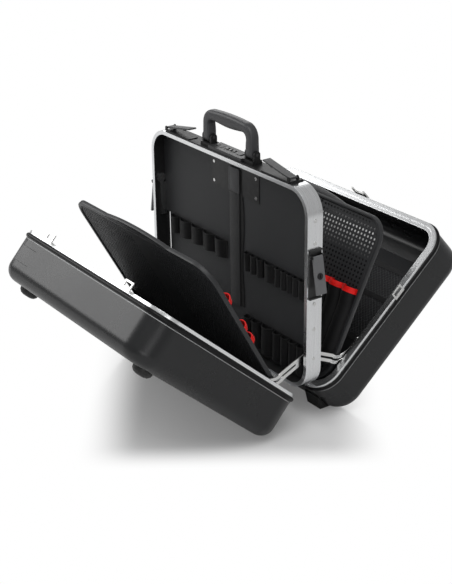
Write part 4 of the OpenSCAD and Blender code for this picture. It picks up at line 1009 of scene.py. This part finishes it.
def stitches(shape, place, x, low, high, out):
    """A row of short raised stitches that runs upwards."""
    pitch, length, half, proud, sunk = 3.0 * MM, 1.8 * MM, 0.25 * MM, 0.25 * MM, 0.1 * MM
    z = low + pitch
    while z < high - pitch:
        shape.box(place, (x - half, -out - proud, z), (x + half, -out + sunk, z + length))
        z += pitch


def strip_up(low, high, section, steps=40):
    """A strip between two heights, with the (x, y) points of section(t) at each share t of the way."""
    strip = Shape()
    strip.rings([[Vector((x, y, low + (high - low) * t)) for x, y in section(t)]
                 for t in (i / steps for i in range(steps + 1))])
    return strip


class TOOLCASE_OT_frame_cloth(bpy.types.Operator):
    """Make the elastic loops, the tool pockets and the holding strap of the middle frame"""
    bl_idname = "toolcase.frame_cloth"
    bl_label = "Loops, pockets and strap"

    def execute(self, context):
        rng = random.Random(7)
        for name, row in CLOTH_ROWS.items():
            self.row(name, *row, rng)
        self.strap()
        return {"FINISHED"}

    def row(self, name, top, tall, out, sides, rng):
        """One row of bulged cloth on a back strip, sewn down between its bulges."""
        cloth, seams = Shape(), Shape()
        flat = 0.0
        low, high = (top - tall) * MM, top * MM
        hem_t, hem_h, hem_inset, hem_drop = 0.9 * MM, 2.2 * MM, 0.6, 2.4 * MM

        def place(x, y, z):
            return frame_point(x, PANEL_Y * MM - CLOTH_BACK * MM + y, z)

        for side, widths in sides.items():
            x = ROW_START[side]
            length = sum(widths) + ROW_GAP * (len(widths) - 1)
            flat += sum(bulge_length(w, out) for w in widths) + ROW_GAP * (len(widths) + 1)
            ends = sorted((side * (x - ROW_END), side * (x + length + ROW_END)))
            cloth.box(place, (ends[0] * MM, -CLOTH_BACK * MM, low), (ends[1] * MM, CLOTH_BACK * MM, high))
            for w in widths:
                centre = side * (x + w / 2) * MM
                bulge = out - CLOTH_BACK
                cloth_tube(cloth, place, centre, w * MM, bulge * MM, low, high, CLOTH_T * MM, rng)
                hem(cloth, place, centre, (w - hem_inset) * MM, (bulge - hem_inset) * MM, high - hem_drop,
                    hem_t, hem_h)
                for edge in (x - ROW_GAP / 2, x + w + ROW_GAP / 2):
                    stitches(seams, place, side * edge * MM, low, high, CLOTH_BACK * MM)
                x += w + ROW_GAP
        made = piece(name + "_cloth", cloth, "loop_cloth", "frame", "loop_cloth", [name], 50)
        sewn = piece(name + "_stitches", seams, "stitching", "frame", "loop_cloth")

    def strap(self):
        """The holding strap: its webbing, a dark strip beside it that is painted shadow, and its sewn head.
        """
        low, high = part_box("holding_strap")
        half = (high.x - low.x) / 2

        def webbing(t):
            wave, edge_w, edge_t, back_inset = 0.25 * MM, 1.2 * MM, 0.5 * MM, 0.4 * MM
            front, back = low.y + edge_t + wave * math.sin(3 * math.pi * t), high.y - 0.1 * MM
            right = [(half - edge_w, front), (half, front + edge_t), (half - back_inset, back)]
            return right + [(-x, y) for x, y in reversed(right)]

        # A black strip beside the strap: painted shadow of the strap on the panel.
        def backing(t):
            overlap, mean_w, wave = 8 * MM, 9.5 * MM, 2.5 * MM
            front, back = high.y - 0.2 * MM, high.y + 0.4 * MM
            outer = high.x + mean_w + wave * math.cos(3.2 * math.pi * t)
            inner = high.x - overlap
            return [(inner, back), (inner, front), (outer, front), (outer, back)]

        band = piece("strap_webbing", strip_up(low.z, high.z, webbing), "strap_webbing", "frame",
                     "strap_webbing", ["holding_strap"], 50)
        # Painted shadow: black cloth where the strap would cast its shadow.
        piece("strap_painted_shadow", strip_up(low.z, high.z, backing), "loop_cloth", "frame", "strap_webbing",
              angle=50)
        sewn_head, sewn = self.head(high.z + 1 * MM, low.y)

    def head(self, top, strap_front):
        """The strap's stiff head with one chamfered edge, and its stitches."""
        head_w, head_h, head_r, chamfer = 33 * MM, 48 * MM, 2.5 * MM, 0.5 * MM
        bottom = top - head_h
        front, back = strap_front - 0.9 * MM, strap_front + 1.2 * MM
        head = Shape()
        head.rings(inset_loops(rounded_outline(head_w, top - bottom, head_r, 5, bottom),
                               ((0.0, back), (0.0, front + chamfer), (chamfer, front)),
                               lambda x, z, y: Vector((x, y, z))))
        return (piece("strap_head", head, "strap_head", "frame", "strap_webbing", angle=50),
                piece("strap_stitches", self.head_stitches(bottom, top, front), "stitching", "frame",
                      "strap_webbing"))

    def head_stitches(self, bottom, top, front):
        """Two double rows up the strap's head and two rows across it."""
        seams = Shape()
        proud, sunk = front - 0.2 * MM, front + 0.1 * MM
        pitch, length, half = 3.2 * MM, 2 * MM, 0.25 * MM
        for x in (-14, -13, 13, 14):
            z = bottom + 4 * MM
            while z < top - 5 * MM:
                seams.box(as_given, (x * MM - half, proud, z), (x * MM + half, sunk, z + length))
                z += pitch
        for x in range(-12, 13, 3):
            for z in (bottom + 2.5 * MM, bottom + 10 * MM):
                seams.box(as_given, ((x - 1) * MM, proud, z), ((x + 1) * MM, sunk, z + 0.5 * MM))
        return seams


class TOOLCASE_OT_sleeves(bpy.types.Operator):
    """Make the tool sleeves of both boards with their red collars"""
    bl_idname = "toolcase.sleeves"
    bl_label = "Sleeves and collars"

    def execute(self, context):
        for side, rows in SLEEVE_ROWS.items():
            self.board(side, rows)
        return {"FINISHED"}

    def board(self, side, rows):
        """All sleeves of one board as one cloth, their collars as another."""
        rng = random.Random(11 + side)
        tubes, rings, seams = Shape(), Shape(), Shape()
        arc, collar_arc = bulge_length(SLEEVE_W, SLEEVE_BULGE) * MM, bulge_length(SLEEVE_W, COLLAR_BULGE) * MM
        area, total = 0.0, 0
        half = SLEEVE_W / 2 * MM
        strip_front, strip_back, seam_out, collar_gap = -0.6 * MM, -0.05 * MM, 1.6 * MM, 0.2

        def place(x, y, u):
            return board_point(side, x, u, y - SLEEVE_OFF * MM)

        for edge, count, top, bottom in rows:
            total += count
            area += count * (arc * (top - bottom) + SLEEVE_W * MM * (top + COLLAR_H - bottom)) * MM
            low, high, rim = bottom * MM, top * MM, (top + COLLAR_H) * MM
            for i in range(count):
                x = (edge - SLEEVE_W / 2 - SLEEVE_PITCH * i) * MM
                cloth_tube(tubes, place, x, 2 * half, SLEEVE_BULGE * MM, low, high, CLOTH_T * MM, rng,
                           16, SLEEVE_FLARE)
                tubes.box(place, (x - half, strip_front, low), (x + half, strip_back, rim))
                cloth_tube(rings, place, x, 2 * half, COLLAR_BULGE * MM, (top + collar_gap) * MM, rim,
                           COLLAR_T * MM, rng, 3)
                for e in (SEAM_INSET - SLEEVE_W / 2, SLEEVE_W / 2 - SEAM_INSET):
                    stitches(seams, place, x + e * MM, low, high, seam_out)
        name = SIDE_NAME[side]
        body = name + "_tool_board"
        cloth = piece(name + "_sleeve_cloth", tubes, "loop_cloth", body, "loop_cloth",
                      [name + "_sleeves"], 50)
        bands = piece(name + "_collar_bands", rings, "collar_cloth", body, "collar_cloth",
                      [name + "_collars"], 50)
        sewn = piece(name + "_sleeve_stitches", seams, "stitching", body, "loop_cloth")


def strand_part(x0, h0, x1, h1, half):
    """Ends of the part of a slanted strand within a half width, or nothing where hardly any is left."""
    first, last = sorted(((-half - x0) / (x1 - x0), (half - x0) / (x1 - x0)))
    start, end = max(0.0, first), min(1.0, last)
    if end - start < 0.02:
        return None
    return [(x0 + (x1 - x0) * t, h0 + (h1 - h0) * t) for t in (start, end)]


class TOOLCASE_OT_net_pocket(bpy.types.Operator):
    """Make the pocket panel in the right shell: a smooth back, two nets and their bands"""
    bl_idname = "toolcase.net_pocket"
    bl_label = "Net pocket"

    def execute(self, context):
        pitch = context.scene.case_detail.net_pitch
        place = in_shell(RIGHT)
        wall, half = SHELL_D - WALL_T * MM, POCKET_HALF * MM
        front, behind = wall - BAND_FRONT * MM, wall - BAND_BACK * MM
        back = Shape()
        outline = rounded_outline(2 * half, (POCKET_HIGH - POCKET_LOW) * MM, POCKET_R * MM, 6,
                                  POCKET_LOW * MM)
        steps = ((0.0, wall), (0.0, wall - BACK_EDGE * MM), (BACK_ROUND * MM, wall - BACK_FACE * MM))
        back.rings(inset_loops(outline, steps, place))
        piece("pocket_back", back, "pocket_back", "right_shell", "net_cloth", ["right_net_pocket"], 50)
        bands = Shape()
        for low, high in POCKET_BANDS:
            bands.box(place, (-half, low * MM, front), (half, high * MM, behind))
        for x in (-half, half - POCKET_EDGE * MM):
            bands.box(place, (x, POCKET_BANDS[-1][0] * MM, front + 0.2 * MM),
                      (x + POCKET_EDGE * MM, POCKET_BANDS[0][1] * MM, behind))
        hems = piece("pocket_bands", bands, "pocket_band", "right_shell", "net_cloth")
        net, strand_area = self.net(place, pitch, half, wall - NET_DEPTH * MM)
        mesh = piece("pocket_net", net, "net_cloth", "right_shell", "net_cloth", angle=80)
        return {"FINISHED"}

    def net(self, place, pitch, half, depth):
        """Both nets of crossing slanted strands, and the area of the strands' cloth."""
        net, area, radius = Shape(), 0.0, STRAND_R * MM
        for low, high in POCKET_NETS:
            rows = int((high - low) * MM / pitch)
            count = int(2 * half / pitch)
            for i in range(count + rows):
                for lean in (1, -1):
                    x0 = -half + (i - (rows if lean > 0 else 0)) * pitch
                    ends = strand_part(x0, low * MM, x0 + lean * rows * pitch, high * MM, half)
                    if ends:
                        off = depth + STRAND_OFF * MM * lean
                        net.rod(place(*ends[0], off), place(*ends[1], off), radius, 5)
                        area += math.dist(*ends) * math.pi * radius
        return net, area


class TOOLCASE_OT_shell_trim(bpy.types.Operator):
    """Make the fine raised line that runs round each half shell below its bead, pale grey as a painted
    highlight
    """
    bl_idname = "toolcase.shell_trim"
    bl_label = "Shell trim"

    def execute(self, context):
        outline = rounded_outline(CASE_W, CASE_H, CORNER_R, 14)
        for side, name in SIDE_NAME.items():
            line = Shape()
            line.rings(swept(outline, SHELL_LINE_SECTION, in_shell(side)), closed_path=True)
            # The line's pale finish is a painted highlight.
            piece(name + "_shell_line_painted_highlight", line, "shell_line_painted_highlight", name + "_shell", "shell_plastic", angle=50)
        return {"FINISHED"}


class TOOLCASE_OT_dial_numbers(bpy.types.Operator):
    """Put plain numbers on the three dials of the lock"""
    bl_idname = "toolcase.dial_numbers"
    bl_label = "Dial numbers"

    def execute(self, context):
        count = 10
        face_r = DIAL_R * math.cos(math.radians(180 / count))
        for name, first in FIRST_DIGIT.items():
            pos = Vector(JOINT[name + "_turn"]["pos_m"])
            numbers = Shape()
            for k in range(count):
                spin = Matrix.Rotation(math.radians(360 / count * k), 4, "X")
                mesh = self.digit((first + k) % count)
                verts = [pos + spin @ Vector((v.co.x, v.co.y, face_r + v.co.z)) for v in mesh.vertices]
                numbers.add(verts, [tuple(p.vertices) for p in mesh.polygons])
                bpy.data.meshes.remove(mesh)
            piece(name + "_numbers", numbers, "dial_ink", name, "dial_plastic")
        return {"FINISHED"}

    def digit(self, number):
        """Mesh of one raised digit, centred on its place."""
        curve = bpy.data.curves.new("digit", "FONT")
        curve.body = str(number)
        curve.align_x, curve.align_y = "CENTER", "CENTER"
        curve.size = DIGIT_H
        curve.extrude = DIGIT_RAISE
        curve.resolution_u = 2
        holder = bpy.data.objects.new("digit", curve)
        mesh = bpy.data.meshes.new_from_object(holder)
        bpy.data.objects.remove(holder)
        bpy.data.curves.remove(curve)
        return mesh


class TOOLCASE_OT_stage(bpy.types.Operator):
    """Set the camera, the pale floor, the white surround and the soft lights"""
    bl_idname = "toolcase.stage"
    bl_label = "Stage"

    def execute(self, context):
        scene = context.scene
        stage = scene.case_stage
        scene.view_settings.view_transform = "Standard"
        self.camera(scene)
        self.surround(scene)
        self.floor(scene, stage.floor_mirror)
        self.lights(scene, stage.key_light)
        return {"FINISHED"}

    def camera(self, scene):
        """The camera at the photograph's place and angles."""
        flat = math.cos(CAMERA_HEIGHT)
        back = Vector((math.sin(CAMERA_AZIMUTH) * flat, -math.cos(CAMERA_AZIMUTH) * flat,
                       math.sin(CAMERA_HEIGHT)))
        right = (-back).cross(Vector((0, 0, 1))).normalized()
        up = right.cross(-back)
        turned_right = math.cos(CAMERA_ROLL) * right + math.sin(CAMERA_ROLL) * up
        turned_up = -math.sin(CAMERA_ROLL) * right + math.cos(CAMERA_ROLL) * up
        data = bpy.data.cameras.new("Camera")
        data.sensor_fit = "VERTICAL"
        data.sensor_height = SENSOR_H
        data.lens = SENSOR_H * FOCAL_PX / PICTURE_H_PX
        data.clip_end = 50.0
        cam = bpy.data.objects.new("Camera", data)
        turn = Matrix((turned_right, turned_up, back)).transposed().to_4x4()
        cam.matrix_world = Matrix.Translation(frame_point(*CAMERA_PLACE)) @ turn
        scene.collection.objects.link(cam)
        scene.camera = cam

    def surround(self, scene):
        """A world that is white to the camera and lights the case only a little."""
        world = bpy.data.worlds.new("White surround")
        world.use_nodes = True
        scene.world = world
        tree = world.node_tree
        base = tree.nodes["Background"]
        base.inputs["Color"].default_value = WHITE
        base.inputs["Strength"].default_value = WORLD_LIGHT
        white = node(tree, "ShaderNodeBackground", {"Color": WHITE, "Strength": 1.0})
        path = node(tree, "ShaderNodeLightPath").outputs
        mirrored = maths(tree, "MULTIPLY", path["Is Glossy Ray"], WORLD_MIRROR)
        seen = maths(tree, "MAXIMUM", path["Is Camera Ray"],
                     maths(tree, "MAXIMUM", mirrored, path["Is Transmission Ray"]))
        surface = tree.nodes["World Output"].inputs["Surface"]
        tree.links.new(mixed(tree, seen, base.outputs[0], white.outputs[0]), surface)

    def floor(self, scene, mirror):
        """A pale floor under the case."""
        mesh = bpy.data.meshes.new("floor")
        r = FLOOR_HALF
        mesh.from_pydata([(-r, -r, 0), (r, -r, 0), (r, r, 0), (-r, r, 0)], [], [(0, 1, 2, 3)])
        mesh.materials.append(self.floor_finish(mirror))
        floor = bpy.data.objects.new("floor", mesh)
        scene.collection.objects.link(floor)

    def floor_finish(self, mirror):
        """Keeps shadow and mirror image near the case, and is plain white to the camera further off."""
        mat = bpy.data.materials.new("White floor")
        mat.use_nodes = True
        tree = mat.node_tree
        shader = tree.nodes["Principled BSDF"]
        for label, value in (("Base Color", FLOOR_TONE), ("Roughness", 0.9), ("Specular IOR Level", 0.0)):
            shader.inputs[label].default_value = value
        lift = node(tree, "ShaderNodeEmission", {"Color": WHITE, "Strength": FLOOR_LIFT})
        gloss = node(tree, "ShaderNodeBsdfGlossy", {"Color": WHITE, "Roughness": 0.2})
        lit = node(tree, "ShaderNodeAddShader")
        tree.links.new(mixed(tree, mirror, shader.outputs[0], gloss.outputs[0]), lit.inputs[0])
        tree.links.new(lift.outputs[0], lit.inputs[1])
        white = node(tree, "ShaderNodeEmission", {"Color": WHITE, "Strength": 1.0})
        place = object_place(tree)
        masks = []
        for direction, start, end in FLOOR_FADES:
            along = node(tree, "ShaderNodeVectorMath", {1: direction}, operation="DOT_PRODUCT")
            tree.links.new(place, along.inputs[0])
            distance = maths(tree, "ABSOLUTE", along.outputs["Value"])
            masks.append(ramped(tree, distance, start, end, 1.0, 0.0, "SMOOTHSTEP"))
        near = maths(tree, "MULTIPLY", *masks)
        seen = mixed(tree, near, white.outputs[0], lit.outputs[0])
        camera_ray = node(tree, "ShaderNodeLightPath").outputs["Is Camera Ray"]
        surface = tree.nodes["Material Output"].inputs["Surface"]
        tree.links.new(mixed(tree, camera_ray, shader.outputs[0], seen), surface)
        return mat

    def lights(self, scene, key_light):
        """Large soft lamps round the case."""
        for name, (place, target, size, share) in LAMPS.items():
            data = bpy.data.lights.new(name, "AREA")
            data.shape = "RECTANGLE"
            data.size, data.size_y = size
            data.energy = key_light * share
            lamp = bpy.data.objects.new(name, data)
            lamp.location = place
            lamp.rotation_euler = (Vector(target) - Vector(place)).to_track_quat("-Z", "Y").to_euler()
            scene.collection.objects.link(lamp)


OPERATORS = (TOOLCASE_OT_stage, TOOLCASE_OT_finishes, TOOLCASE_OT_rounded_parts, TOOLCASE_OT_handle,
             TOOLCASE_OT_boards, TOOLCASE_OT_frame_cloth, TOOLCASE_OT_sleeves, TOOLCASE_OT_net_pocket,
             TOOLCASE_OT_shell_trim, TOOLCASE_OT_dial_numbers)


class TOOLCASE_PT_panel(bpy.types.Panel):
    """Lists the settings and the pieces of the tool case"""
    bl_idname = "TOOLCASE_PT_panel"
    bl_label = "Tool case"
    bl_space_type = "VIEW_3D"
    bl_region_type = "UI"
    bl_category = "Tool case"

    def draw(self, context):
        layout = self.layout
        scene = context.scene
        for settings in (scene.case_colours, scene.case_detail, scene.case_stage):
            box = layout.box()
            for prop in settings.bl_rna.properties:
                if prop.identifier not in ("rna_type", "name"):
                    box.prop(settings, prop.identifier)
        for operator in OPERATORS:
            layout.operator(operator.bl_idname)


CLASSES = (CaseColours, CaseDetail, CaseStage) + OPERATORS + (TOOLCASE_PT_panel,)


def register():
    """Adds the classes and the scene's settings."""
    for cls in CLASSES:
        bpy.utils.register_class(cls)
    bpy.types.Scene.case_colours = bpy.props.PointerProperty(type=CaseColours)
    bpy.types.Scene.case_detail = bpy.props.PointerProperty(type=CaseDetail)
    bpy.types.Scene.case_stage = bpy.props.PointerProperty(type=CaseStage)


def unregister():
    """Takes the settings and the classes away again."""
    for name in ("case_colours", "case_detail", "case_stage"):
        delattr(bpy.types.Scene, name)
    for cls in reversed(CLASSES):
        bpy.utils.unregister_class(cls)


def main():
    register()
    for operator in OPERATORS:
        group, name = operator.bl_idname.split(".")
        getattr(getattr(bpy.ops, group), name)()


if __name__ == "__main__":
    main()
